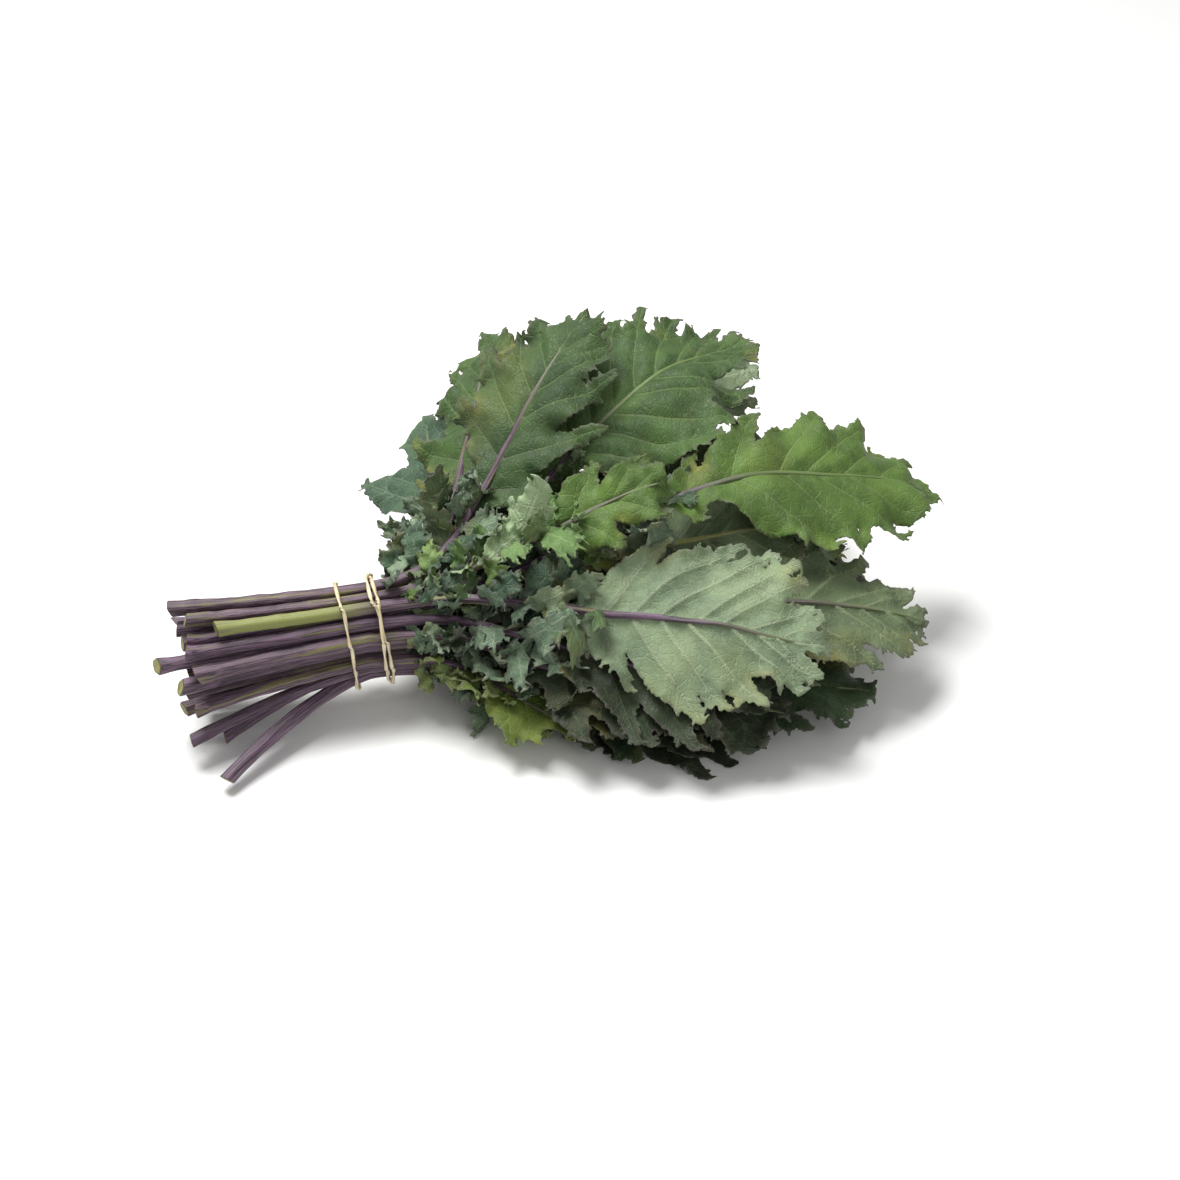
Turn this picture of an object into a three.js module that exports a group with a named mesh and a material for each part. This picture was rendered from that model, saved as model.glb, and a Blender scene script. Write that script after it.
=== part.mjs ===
// A bunch of purple kale lying on its side: 28 whole leaves, each with its stalk, midrib and blade
// grown as one piece, held by one rubber band wound three times round the stalks.
// Millimetres, +Z up. The cut ends point to -X and the leaf tips to +X.
// Blades are plain here: their surfaces, lengths and widths are real, and their frills are left out.

import * as THREE from "three";

const DEG = Math.PI / 180;

// The tied neck of the bunch, where the stalks lie parallel
const STALK_PITCH = 8.0;
const ROW_PITCH = STALK_PITCH * Math.sin(60 * DEG);
const ROWS = 7;
const NECK_HEIGHT = 45;
const NECK_YAW = 13 * DEG;
const NECK_RISE = 4.4;
const STALK_RADIUS = 3.6;

// The cut side of the neck, where the stalks spread a little
const SPREAD_SIDE = 0.34;
const SPREAD_UP = 0.34;
const SPREAD_POWER = 1.5;
const SPREAD_REACH = 100;

// The leafy side of the neck: the mound that the blades lie in, from the floor to its crown
const TURN_LENGTH = 70;
const FLOOR_LAYER = 3.4;
const FLOOR_REACH = 110;
const CROWN_REACH = 200;
const CROWN_LOW = 22;
const CROWN_HIGH = 158;
const CROWN_FRONT = -45 * DEG;
const CROWN_BACK = 50 * DEG;
const CROWN_FALL = 90;
const CROWN_FALL_WIDTH = 60 * DEG;
const DROOP_START = 180;
const DROOP = 26;

// Blades
const BLADE_HALF_THICKNESS = 0.5;
const LOBE_DEPTH = 0.2;
const MIDRIB_TIP_RADIUS = 0.8;
const LATERAL_STEP = 4;

// The rubber band: its first turn lies alone, and it crosses to the others at the back of the neck.
// All turns slant, further forward at the bottom than at the top.
const BAND_HALF_WIDTH = 1.0;
const BAND_HALF_THICKNESS = 0.6;
const BAND_GAP = 0.7;
const BAND_PLACES = [-12, 5.25, 5.25];
const BAND_CROSS_FROM = -70 * DEG;
const BAND_CROSS_TO = 10 * DEG;
const BAND_LIFT = 2.0;
const BAND_SLANT = 3.4;
const TWIST_HALF_TURNS = 3;
const TWIST_SIDE = 1.75;
const TWIST_LIFT = 0.8;

// One entry for each leaf. row 0 lies on the floor and row 6 is the top one; places run from front to back.
// yaw: direction of the leaf in plan. reach: length from neck to tip. blade: where the blade starts.
// width: widest part of the blade. lift: share of a row's height that the blade stands above its row.
// stalk: length on the cut side. splay and drop: how far the cut end strays to the front and down.
const LEAVES = [
  { row: 0, place: 0, yaw: -13, reach: 205, blade: 92, width: 78, lift: 0.0, stalk: 83, splay: 61, drop: 8.6 },
  { row: 0, place: 1, yaw: 18, reach: 235, blade: 96, width: 80, lift: 0.0, stalk: 80, splay: 33, drop: 8.6 },
  { row: 0, place: 2, yaw: 50, reach: 200, blade: 90, width: 88, lift: 0.0, stalk: 85, splay: 9, drop: 8.6 },
  { row: 1, place: 0, yaw: -13, reach: 190, blade: 84, width: 70, lift: -0.2, stalk: 97, splay: 18, drop: 5 },
  { row: 1, place: 1, yaw: 3, reach: 245, blade: 96, width: 78, lift: 0.1, stalk: 98, splay: 4, drop: 4 },
  { row: 1, place: 2, yaw: 31, reach: 230, blade: 96, width: 76, lift: -0.2, stalk: 90, splay: 0, drop: 2 },
  { row: 1, place: 3, yaw: 66, reach: 185, blade: 82, width: 76, lift: 0.1, stalk: 88, splay: -4, drop: 4 },
  { row: 2, place: 0, yaw: -30, reach: 118, blade: 50, width: 54, lift: 0.1, stalk: 92, splay: 6, drop: 0 },
  { row: 2, place: 1, yaw: -5, reach: 258, blade: 98, width: 80, lift: -0.2, stalk: 95, splay: 2, drop: 0 },
  { row: 2, place: 2, yaw: 14, reach: 262, blade: 104, width: 78, lift: 0.2, stalk: 88, splay: 0, drop: 0 },
  { row: 2, place: 3, yaw: 40, reach: 225, blade: 92, width: 80, lift: -0.2, stalk: 92, splay: 0, drop: 0 },
  { row: 2, place: 4, yaw: 86, reach: 175, blade: 74, width: 72, lift: 0.2, stalk: 90, splay: -3, drop: 2 },
  { row: 3, place: 0, yaw: -14, reach: 215, blade: 88, width: 82, lift: -0.1, stalk: 99, splay: 3, drop: 0 },
  { row: 3, place: 1, yaw: 5, reach: 272, blade: 104, width: 88, lift: 0.2, stalk: 93, splay: 1, drop: 0 },
  { row: 3, place: 2, yaw: 33, reach: 272, blade: 104, width: 84, lift: -0.2, stalk: 86, splay: 0, drop: 0 },
  { row: 3, place: 3, yaw: 68, reach: 200, blade: 80, width: 82, lift: 0.2, stalk: 94, splay: 0, drop: 0 },
  { row: 4, place: 0, yaw: -19, reach: 170, blade: 74, width: 66, lift: 0.1, stalk: 90, splay: 2, drop: 0 },
  { row: 4, place: 1, yaw: 3, reach: 288, blade: 112, width: 92, lift: -0.2, stalk: 109, splay: 0, drop: 0 },
  { row: 4, place: 2, yaw: 12, reach: 232, blade: 98, width: 86, lift: 0.1, stalk: 84, splay: 0, drop: 0 },
  { row: 4, place: 3, yaw: 47, reach: 292, blade: 96, width: 84, lift: -0.2, stalk: 88, splay: 0, drop: 0 },
  { row: 4, place: 4, yaw: 96, reach: 152, blade: 60, width: 74, lift: 0.2, stalk: 96, splay: 0, drop: 0 },
  { row: 5, place: 0, yaw: -16, reach: 205, blade: 84, width: 80, lift: -0.1, stalk: 94, splay: 0, drop: 0 },
  { row: 5, place: 1, yaw: 18, reach: 320, blade: 146, width: 80, lift: 0.1, stalk: 92, splay: 0, drop: 0 },
  { row: 5, place: 2, yaw: 42, reach: 266, blade: 98, width: 98, lift: -0.1, stalk: 96, splay: 0, drop: 0 },
  { row: 5, place: 3, yaw: 80, reach: 190, blade: 66, width: 78, lift: 0.1, stalk: 90, splay: 0, drop: 0 },
  { row: 6, place: 0, yaw: -10, reach: 232, blade: 92, width: 102, lift: 0.0, stalk: 78, splay: 0, drop: 0 },
  { row: 6, place: 1, yaw: 14, reach: 162, blade: 92, width: 56, lift: 0.2, stalk: 92, splay: 0, drop: 0 },
  { row: 6, place: 2, yaw: 56, reach: 196, blade: 62, width: 88, lift: 0.0, stalk: 98, splay: 0, drop: 0 },
];

const clamp = (value, low, high) => Math.min(high, Math.max(low, value));
const ease = (share) => Math.sin((Math.PI / 2) * clamp(share, 0, 1)) ** 2;

// Height of the crown of the mound, for a place given in plan from the neck.
function crownHeight(x, y) {
  const reach = Math.hypot(x, y);
  const yaw = Math.atan2(y, x);
  const rise = (CROWN_HIGH - CROWN_LOW) * ease((yaw - CROWN_FRONT) / (CROWN_BACK - CROWN_FRONT));
  const fall = CROWN_FALL * ease((yaw - CROWN_BACK) / CROWN_FALL_WIDTH);
  const neckTop = NECK_HEIGHT + ((ROWS - 1) / 2) * ROW_PITCH;
  const droop = DROOP * (Math.max(0, reach - DROOP_START) / 100) ** 2;
  return neckTop + (CROWN_LOW + rise - fall - neckTop) * ease(reach / CROWN_REACH) - droop;
}

// Height of a layer of the mound: level 0 lies on the floor, and level 1 is the crown.
function layerHeight(x, y, level) {
  const neckBottom = NECK_HEIGHT - ((ROWS - 1) / 2) * ROW_PITCH;
  const reach = Math.hypot(x, y);
  const bottom = neckBottom + (FLOOR_LAYER - neckBottom) * ease(reach / FLOOR_REACH);
  return bottom + (Math.max(crownHeight(x, y), bottom + 8) - bottom) * level;
}

const rowCount = (row) => LEAVES.filter((leaf) => leaf.row === row).length;
const sideOffset = (leaf) => (leaf.place - (rowCount(leaf.row) - 1) / 2) * STALK_PITCH;
const rowOffset = (leaf) => (leaf.row - (ROWS - 1) / 2) * ROW_PITCH;

// A point on the cut side of the neck, at a distance back from it.
function stalkPoint(leaf, back) {
  const share = back / SPREAD_REACH;
  const spread = share ** SPREAD_POWER;
  const side = sideOffset(leaf) * (1 + SPREAD_SIDE * spread) - leaf.splay * spread;
  const up = rowOffset(leaf) * (1 + SPREAD_UP * spread) - leaf.drop * spread;
  return new THREE.Vector3(
    -back * Math.cos(NECK_YAW) - side * Math.sin(NECK_YAW),
    -back * Math.sin(NECK_YAW) + side * Math.cos(NECK_YAW),
    NECK_HEIGHT - NECK_RISE * share + up,
  );
}

// Level of the leaf in the mound, which eases from its stalk's row to the blade's own level.
function levelAt(leaf, along) {
  return (leaf.row + leaf.lift * ease(along / leaf.blade)) / (ROWS - 1);
}

// The stalk and midrib in plan on the leafy side, as points a step apart.
function planPath(leaf, step) {
  const side = sideOffset(leaf);
  let x = -side * Math.sin(NECK_YAW);
  let y = side * Math.cos(NECK_YAW);
  const points = [{ x, y, along: 0, yaw: NECK_YAW }];
  for (let along = step; along <= leaf.reach + 1e-9; along += step) {
    const yaw = NECK_YAW + (leaf.yaw * DEG - NECK_YAW) * ease((along - step / 2) / TURN_LENGTH);
    const before = layerHeight(x, y, levelAt(leaf, along - step));
    const after = layerHeight(x + step * Math.cos(yaw), y + step * Math.sin(yaw), levelAt(leaf, along));
    const flat = step / Math.hypot(1, (after - before) / step);
    x += flat * Math.cos(yaw);
    y += flat * Math.sin(yaw);
    points.push({ x, y, along, yaw });
  }
  return points;
}

// A point of the blade, at a signed distance across from the midrib, measured over the curved layer.
function bladePoint(at, level, across) {
  const direction = Math.sign(across) || 1;
  const nx = -Math.sin(at.yaw) * direction;
  const ny = Math.cos(at.yaw) * direction;
  let { x, y } = at;
  for (let left = Math.abs(across); left > 1e-9; left -= LATERAL_STEP) {
    const step = Math.min(LATERAL_STEP, left);
    const slope = (layerHeight(x + nx, y + ny, level) - layerHeight(x, y, level));
    x += (nx * step) / Math.hypot(1, slope);
    y += (ny * step) / Math.hypot(1, slope);
  }
  return new THREE.Vector3(x, y, layerHeight(x, y, level));
}

const bladeHalfWidth = (leaf, share) => (leaf.width / 2) * Math.sin(Math.PI * share ** 1.3) ** 0.75;

// Eight corners round a stalk: right, over the top, left, and back underneath.
function stalkRing(centre, along, radius) {
  const side = new THREE.Vector3(-along.y, along.x, 0).normalize();
  const up = new THREE.Vector3().crossVectors(along, side).normalize();
  return Array.from({ length: 8 }, (_, corner) => {
    const angle = Math.PI - (corner * Math.PI) / 4;
    return centre
      .clone()
      .addScaledVector(side, radius * Math.cos(angle))
      .addScaledVector(up, radius * Math.sin(angle));
  });
}

// Eight corners across a blade: right edge, over the midrib, left edge, and back underneath.
function bladeRing(at, level, halfWidth, ribRadius) {
  const across = [-halfWidth, -halfWidth / 2, 0, halfWidth / 2, halfWidth];
  const line = across.map((distance) => bladePoint(at, level, distance));
  const forward = new THREE.Vector3(Math.cos(at.yaw), Math.sin(at.yaw), 0);
  const thickness = [0, BLADE_HALF_THICKNESS, ribRadius, BLADE_HALF_THICKNESS, 0];
  const upward = line.map((_, i) => {
    const chord = new THREE.Vector3().subVectors(line[Math.min(4, i + 1)], line[Math.max(0, i - 1)]);
    return new THREE.Vector3().crossVectors(forward, chord).normalize();
  });
  const over = line.map((point, i) => point.clone().addScaledVector(upward[i], thickness[i]));
  const under = [3, 2, 1].map((i) => line[i].clone().addScaledVector(upward[i], -thickness[i]));
  return [...over, ...under];
}

// A closed skin over a row of rings with eight corners each.
function skin(rings, closed = false) {
  const corners = rings[0].length;
  const positions = rings.flat().flatMap((point) => [point.x, point.y, point.z]);
  const triangles = [];
  const bands = closed ? rings.length : rings.length - 1;
  for (let ring = 0; ring < bands; ring += 1) {
    const next = (ring + 1) % rings.length;
    for (let corner = 0; corner < corners; corner += 1) {
      const after = (corner + 1) % corners;
      const a = ring * corners + corner;
      const b = ring * corners + after;
      const c = next * corners + after;
      const d = next * corners + corner;
      triangles.push(a, c, b, a, d, c);
    }
  }
  if (!closed) {
    const last = (rings.length - 1) * corners;
    for (let corner = 1; corner < corners - 1; corner += 1) {
      triangles.push(0, corner, corner + 1);
      triangles.push(last, last + corner + 1, last + corner);
    }
  }
  const geometry = new THREE.BufferGeometry();
  geometry.setAttribute("position", new THREE.Float32BufferAttribute(positions, 3));
  geometry.setIndex(triangles);
  geometry.computeVertexNormals();
  return geometry;
}

// Distances along a leaf at which its skin gets a ring
const STALK_STATIONS = [1, 0.66, 0.33, 0.08];
const PETIOLE_STATIONS = [0.12, 0.34, 0.56, 0.78];
const BLADE_STATIONS = [0.04, 0.14, 0.26, 0.38, 0.5, 0.62, 0.74, 0.86, 0.95, 1];
const PATH_STEP = 3;

function leafGeometry(leaf) {
  const rings = [];
  for (const share of STALK_STATIONS) {
    const back = share * leaf.stalk;
    const toward = new THREE.Vector3().subVectors(stalkPoint(leaf, back - 2), stalkPoint(leaf, back + 2));
    rings.push(stalkRing(stalkPoint(leaf, back), toward.normalize(), STALK_RADIUS * (1 + 0.1 * share)));
  }
  const path = planPath(leaf, PATH_STEP);
  const pathAt = (along) => path[clamp(Math.round(along / PATH_STEP), 0, path.length - 1)];
  const spot = (at) => new THREE.Vector3(at.x, at.y, layerHeight(at.x, at.y, levelAt(leaf, at.along)));
  for (const share of PETIOLE_STATIONS) {
    const at = pathAt(share * leaf.blade);
    const toward = new THREE.Vector3().subVectors(spot(pathAt(at.along + PATH_STEP)), spot(at));
    rings.push(stalkRing(spot(at), toward.normalize(), STALK_RADIUS * (1 - 0.35 * share)));
  }
  const bladeLength = leaf.reach - leaf.blade;
  BLADE_STATIONS.forEach((share, index) => {
    const at = pathAt(leaf.blade + share * bladeLength);
    const lobe = index % 2 ? 1 - LOBE_DEPTH : 1;
    const halfWidth = Math.max(2, bladeHalfWidth(leaf, share) * lobe);
    const ribRadius = MIDRIB_TIP_RADIUS + (STALK_RADIUS * 0.6 - MIDRIB_TIP_RADIUS) * (1 - share);
    rings.push(bladeRing(at, levelAt(leaf, at.along), halfWidth, ribRadius));
  });
  return skin(rings);
}

// Centre of the leaf's stalk where it crosses a plane square to the neck.
function stalkAtNeck(leaf, forward) {
  if (forward <= 0) return stalkPoint(leaf, -forward);
  const path = planPath(leaf, 1);
  const at = path[Math.round(forward)];
  return new THREE.Vector3(at.x, at.y, layerHeight(at.x, at.y, levelAt(leaf, at.along)));
}

// The tight line round all the stalks, for each direction round the neck.
function bandLoop(forward) {
  const centres = LEAVES.map((leaf) => {
    const point = stalkAtNeck(leaf, forward);
    return { side: -point.x * Math.sin(NECK_YAW) + point.y * Math.cos(NECK_YAW), up: point.z };
  });
  return (angle, lift) => {
    const side = Math.cos(angle);
    const up = Math.sin(angle);
    const reachOf = (centre) => centre.side * side + centre.up * up;
    const outer = centres.reduce((best, centre) => (reachOf(centre) > reachOf(best) ? centre : best));
    const offset = STALK_RADIUS * 1.02 + BAND_GAP + BAND_HALF_THICKNESS + lift;
    return { side: outer.side + side * offset, up: outer.up + up * offset };
  };
}

const BAND_STEPS = 40;

// The second and third turns of the band lie side by side and are twisted round each other.
function bandTwist(turn, angle) {
  const share = clamp((angle - BAND_CROSS_TO) / (BAND_CROSS_FROM + 2 * Math.PI - BAND_CROSS_TO), 0, 1);
  const twist = share * TWIST_HALF_TURNS * Math.PI;
  const sign = [0, -1, 1][turn];
  const raised = ease(8 * share) * ease(8 * (1 - share)) * Math.abs(sign);
  return { side: sign * TWIST_SIDE * Math.cos(twist), lift: TWIST_LIFT * raised * (1 + sign * Math.sin(twist)) };
}

function bandGeometry() {
  const loops = BAND_PLACES.map(bandLoop);
  const places = [];
  BAND_PLACES.forEach((place, turn) => {
    const next = (turn + 1) % BAND_PLACES.length;
    for (let step = 0; step < BAND_STEPS; step += 1) {
      const angle = BAND_CROSS_TO + (step / BAND_STEPS) * 2 * Math.PI;
      const crossing = ease((angle - 2 * Math.PI - BAND_CROSS_FROM) / (BAND_CROSS_TO - BAND_CROSS_FROM));
      const twist = bandTwist(turn, angle);
      const start = place + twist.side;
      const end = BAND_PLACES[next] + bandTwist(next, BAND_CROSS_TO).side;
      const lift = twist.lift + (next === 0 ? BAND_LIFT * Math.sin(Math.PI * crossing) ** 0.5 : 0);
      const here = loops[turn](angle, lift);
      const there = loops[next](angle, lift);
      const side = here.side + (there.side - here.side) * crossing;
      const up = here.up + (there.up - here.up) * crossing;
      const forward = start + (end - start) * crossing - BAND_SLANT * Math.sin(angle);
      places.push({ angle, side, up, forward });
    }
  });
  const toPoint = ({ side, up, forward }) =>
    new THREE.Vector3(
      forward * Math.cos(NECK_YAW) - side * Math.sin(NECK_YAW),
      forward * Math.sin(NECK_YAW) + side * Math.cos(NECK_YAW),
      up,
    );
  const rings = places.map((place, index) => {
    const before = toPoint(places[(index + places.length - 1) % places.length]);
    const after = toPoint(places[(index + 1) % places.length]);
    const along = after.clone().sub(before).normalize();
    const outward = toPoint({ side: Math.cos(place.angle), up: Math.sin(place.angle), forward: 0 });
    const wide = new THREE.Vector3().crossVectors(along, outward).normalize();
    outward.crossVectors(wide, along).normalize();
    return Array.from({ length: 6 }, (_, corner) => {
      const turn = (corner * Math.PI) / 3;
      return toPoint(place)
        .addScaledVector(wide, BAND_HALF_WIDTH * Math.cos(turn))
        .addScaledVector(outward, BAND_HALF_THICKNESS * Math.sin(turn));
    });
  });
  return skin(rings, true);
}

const leafGreen = new THREE.MeshStandardMaterial({ color: 0x4f6b3c, roughness: 0.62, metalness: 0 });
const bandRubber = new THREE.MeshStandardMaterial({ color: 0xdccfa0, roughness: 0.55, metalness: 0 });

const bunch = new THREE.Group();
LEAVES.forEach((leaf, index) => {
  const mesh = new THREE.Mesh(leafGeometry(leaf), leafGreen);
  mesh.name = `leaf_${String(index + 1).padStart(2, "0")}`;
  bunch.add(mesh);
});
const band = new THREE.Mesh(bandGeometry(), bandRubber);
band.name = "rubber_band";
bunch.add(band);

// The origin is under the middle of the bunch, on the surface that it lies on.
const bounds = new THREE.Box3().setFromObject(bunch);
const middle = bounds.getCenter(new THREE.Vector3());
bunch.position.set(-middle.x, -middle.y, -bounds.min.z);

export default bunch;
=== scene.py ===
"""Looks of a bunch of purple kale: 28 frilled leaves on purple stalks and the rubber band round them.

Shapes are worked out in millimetres in the bunch's own frame, whose origin is on the surface under the
tied neck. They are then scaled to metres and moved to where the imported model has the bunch.
"""

import logging
import math
from dataclasses import dataclass, field
from enum import Enum, IntEnum
from typing import ClassVar

import bpy
import numpy as np
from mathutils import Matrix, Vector
from mathutils.kdtree import KDTree


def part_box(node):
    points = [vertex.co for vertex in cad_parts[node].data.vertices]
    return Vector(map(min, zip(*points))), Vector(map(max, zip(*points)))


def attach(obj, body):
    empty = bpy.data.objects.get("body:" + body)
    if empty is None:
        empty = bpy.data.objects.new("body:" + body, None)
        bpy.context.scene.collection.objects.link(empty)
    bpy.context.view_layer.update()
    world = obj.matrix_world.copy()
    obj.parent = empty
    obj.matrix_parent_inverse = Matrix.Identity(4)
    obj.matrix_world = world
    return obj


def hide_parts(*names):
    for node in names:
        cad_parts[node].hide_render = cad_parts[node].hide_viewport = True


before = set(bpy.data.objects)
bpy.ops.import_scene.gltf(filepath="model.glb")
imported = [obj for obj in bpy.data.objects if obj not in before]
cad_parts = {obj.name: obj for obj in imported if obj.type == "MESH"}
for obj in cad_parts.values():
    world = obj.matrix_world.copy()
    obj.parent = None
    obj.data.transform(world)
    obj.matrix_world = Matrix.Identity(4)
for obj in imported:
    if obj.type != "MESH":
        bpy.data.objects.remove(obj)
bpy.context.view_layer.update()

Array = np.ndarray
Socket = bpy.types.NodeSocket

LOG = logging.getLogger("kale")
METRES = 0.001
# Lengths are in millimetres. The surface lies this far up in the bunch's own frame.
BUNCH_FLOOR = 1.43
# Middle of a blade, and of a leaflet, at its lowest over the surface.
FLOOR_CLEARANCE = 0.35
LEAFLET_CLEARANCE = 0.8
# Stands for a distance to the nearest vein where there is none.
NO_VEIN = 20.0
# The leaf with the pale leaflets beside the fresh green one in the middle.
MINT_LEAF = 27
# The patterns of two leaves are read this far apart.
PATTERN_STEP = 60.0


class Face(Enum):
    """Which side of a leaf faces up as it lies in the bunch, as the sign of its upper side's normal."""

    UPPER = 1
    UNDER = -1


class Tone(Enum):
    """Age and freshness of a leaf, which set the colours of its two sides; the deep tone also holds
    painted shade.
    """

    FRESH = "fresh"
    FIELD = "field"
    # Dark green of the outer leaves, darkened further as painted shade for the lower front leaves.
    SHADED_DEEP = "deep"
    PALE = "pale"
    GREY = "grey"
    BLUE = "blue"
    LIME = "lime"
    MOSS = "moss"
    MINT = "mint"
    BROWN = "brown"


class Stem(Enum):
    """Colouring of a stalk."""

    PURPLE = "purple"
    MIXED = "mixed"
    GREEN = "green"
    TURNING = "turning"
    FADING = "fading"


@dataclass(frozen=True)
class LeafPlan:
    """Where one leaf lies in the bunch, its sizes in millimetres and its looks.

    row 0 lies on the floor and row 6 is the top one; places run from front to back. yaw is the leaf's
    direction in plan, reach its length from neck to tip, blade where the blade starts, and width its
    widest part. lift is the share of a row's height that the blade stands above its row. stalk is the
    length on the cut side, and splay and drop say how far the cut end strays to the front and down.
    cut is how deep the lobes are cut.
    """

    row: int
    place: int
    yaw: float
    reach: float
    blade: float
    width: float
    lift: float
    stalk: float
    splay: float
    drop: float
    face: Face
    tone: Tone
    stem: Stem
    cut: float


UP, UN = Face.UPPER, Face.UNDER
PURPLE, MIXED, GREEN, TURNING, FADING = Stem.PURPLE, Stem.MIXED, Stem.GREEN, Stem.TURNING, Stem.FADING

LEAVES = [
    LeafPlan(0, 0, -13, 205, 92, 78, 0.0, 83, 61, 8.6, UN, Tone.SHADED_DEEP, PURPLE, 0.52),
    LeafPlan(0, 1, 18, 235, 96, 80, 0.0, 80, 33, 8.6, UN, Tone.SHADED_DEEP, PURPLE, 0.56),
    LeafPlan(0, 2, 50, 200, 90, 88, 0.0, 85, 9, 8.6, UN, Tone.GREY, MIXED, 0.52),
    LeafPlan(1, 0, -13, 190, 84, 70, -0.2, 97, 18, 5, UP, Tone.SHADED_DEEP, PURPLE, 0.56),
    LeafPlan(1, 1, 3, 245, 96, 78, 0.1, 98, 4, 4, UN, Tone.SHADED_DEEP, MIXED, 0.56),
    LeafPlan(1, 2, 31, 230, 96, 76, -0.2, 90, 0, 2, UN, Tone.GREY, PURPLE, 0.52),
    LeafPlan(1, 3, 66, 185, 82, 76, 0.1, 88, -4, 4, UN, Tone.GREY, PURPLE, 0.54),
    LeafPlan(2, 0, -30, 118, 50, 54, 0.1, 92, 6, 0, UP, Tone.LIME, MIXED, 0.8),
    LeafPlan(2, 1, -5, 258, 98, 80, -0.2, 95, 2, 0, UP, Tone.SHADED_DEEP, MIXED, 0.58),
    LeafPlan(2, 2, 14, 262, 104, 78, 0.2, 88, 0, 0, UP, Tone.LIME, PURPLE, 0.58),
    LeafPlan(2, 3, 40, 225, 92, 80, -0.2, 92, 0, 0, UP, Tone.FIELD, PURPLE, 0.54),
    LeafPlan(2, 4, 86, 175, 74, 72, 0.2, 90, -3, 2, UN, Tone.GREY, MIXED, 0.56),
    LeafPlan(3, 0, -14, 215, 88, 82, -0.1, 99, 3, 0, UN, Tone.SHADED_DEEP, PURPLE, 0.56),
    LeafPlan(3, 1, 5, 272, 104, 88, 0.2, 93, 1, 0, UN, Tone.BROWN, MIXED, 0.58),
    LeafPlan(3, 2, 33, 272, 104, 84, -0.2, 86, 0, 0, UP, Tone.BROWN, PURPLE, 0.58),
    LeafPlan(3, 3, 68, 200, 80, 82, 0.2, 94, 0, 0, UP, Tone.FIELD, PURPLE, 0.56),
    LeafPlan(4, 0, -19, 170, 74, 66, 0.1, 90, 2, 0, UN, Tone.SHADED_DEEP, MIXED, 0.56),
    LeafPlan(4, 1, 3, 288, 112, 92, -0.2, 109, 0, 0, UN, Tone.GREY, PURPLE, 0.65),
    LeafPlan(4, 2, 12, 232, 98, 86, 0.1, 84, 0, 0, UN, Tone.GREY, GREEN, 0.58),
    LeafPlan(4, 3, 47, 292, 96, 84, -0.2, 88, 0, 0, UN, Tone.PALE, MIXED, 0.7),
    LeafPlan(4, 4, 96, 152, 60, 74, 0.2, 96, 0, 0, UP, Tone.BLUE, PURPLE, 0.85),
    LeafPlan(5, 0, -16, 205, 84, 80, -0.1, 94, 0, 0, UN, Tone.SHADED_DEEP, PURPLE, 0.58),
    LeafPlan(5, 1, 18, 320, 146, 80, 0.1, 92, 0, 0, UP, Tone.FRESH, FADING, 0.95),
    LeafPlan(5, 2, 42, 266, 98, 98, -0.1, 96, 0, 0, UP, Tone.FIELD, FADING, 0.6),
    LeafPlan(5, 3, 80, 190, 66, 78, 0.1, 90, 0, 0, UP, Tone.FIELD, MIXED, 0.6),
    LeafPlan(6, 0, -10, 232, 92, 102, 0.0, 78, 0, 0, UN, Tone.PALE, TURNING, 0.6),
    LeafPlan(6, 1, 14, 162, 92, 56, 0.2, 92, 0, 0, UP, Tone.FRESH, MIXED, 0.7),
    LeafPlan(6, 2, 56, 196, 62, 88, 0.0, 98, 0, 0, UP, Tone.MOSS, MIXED, 0.78),
]


def ease(share: Array | float) -> Array | float:
    """Rises smoothly from 0 to 1 as share does.

    Args:
        share: how far along the rise is, cut off below 0 and above 1.

    Returns:
        The height of the rise.
    """
    return np.sin(np.pi / 2 * np.clip(share, 0.0, 1.0)) ** 2


def unit(vectors: Array) -> Array:
    """Scales vectors to length 1.

    Args:
        vectors: one vector a row.

    Returns:
        The unit vectors.
    """
    length = np.linalg.norm(vectors, axis=-1, keepdims=True)
    return vectors / np.maximum(length, 1e-9)


@dataclass(frozen=True)
class Neck:
    """The tied neck, where the stalks lie parallel, and how they spread to their cut ends."""

    pitch: float = 8.0
    rows: int = 7
    height: float = 45.0
    yaw: float = math.radians(13)
    rise: float = 4.4
    stalk_radius: float = 3.6
    spread_side: float = 0.34
    spread_up: float = 0.34
    spread_power: float = 1.5
    spread_reach: float = 100.0

    @property
    def row_pitch(self) -> float:
        """Height between two rows of stalks."""
        return self.pitch * math.sin(math.radians(60))

    @property
    def half_height(self) -> float:
        """Height from the middle row to the top row."""
        return (self.rows - 1) / 2 * self.row_pitch

    def side_offset(self, plan: LeafPlan) -> float:
        """Gives a stalk's distance to the back of the neck's middle.

        Args:
            plan: the leaf.

        Returns:
            The distance, negative to the front.
        """
        count = sum(other.row == plan.row for other in LEAVES)
        return (plan.place - (count - 1) / 2) * self.pitch

    def stalk_points(self, plan: LeafPlan, back: Array) -> Array:
        """Places points of a stalk on the cut side of the neck.

        Args:
            plan: the leaf.
            back: distances back from the neck.

        Returns:
            One point a row.
        """
        share = back / self.spread_reach
        spread = share**self.spread_power
        side = self.side_offset(plan) * (1 + self.spread_side * spread) - plan.splay * spread
        row_offset = (plan.row - (self.rows - 1) / 2) * self.row_pitch
        up = row_offset * (1 + self.spread_up * spread) - plan.drop * spread
        x = -back * math.cos(self.yaw) - side * math.sin(self.yaw)
        y = -back * math.sin(self.yaw) + side * math.cos(self.yaw)
        return np.stack([x, y, self.height - self.rise * share + up], axis=-1)


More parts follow.
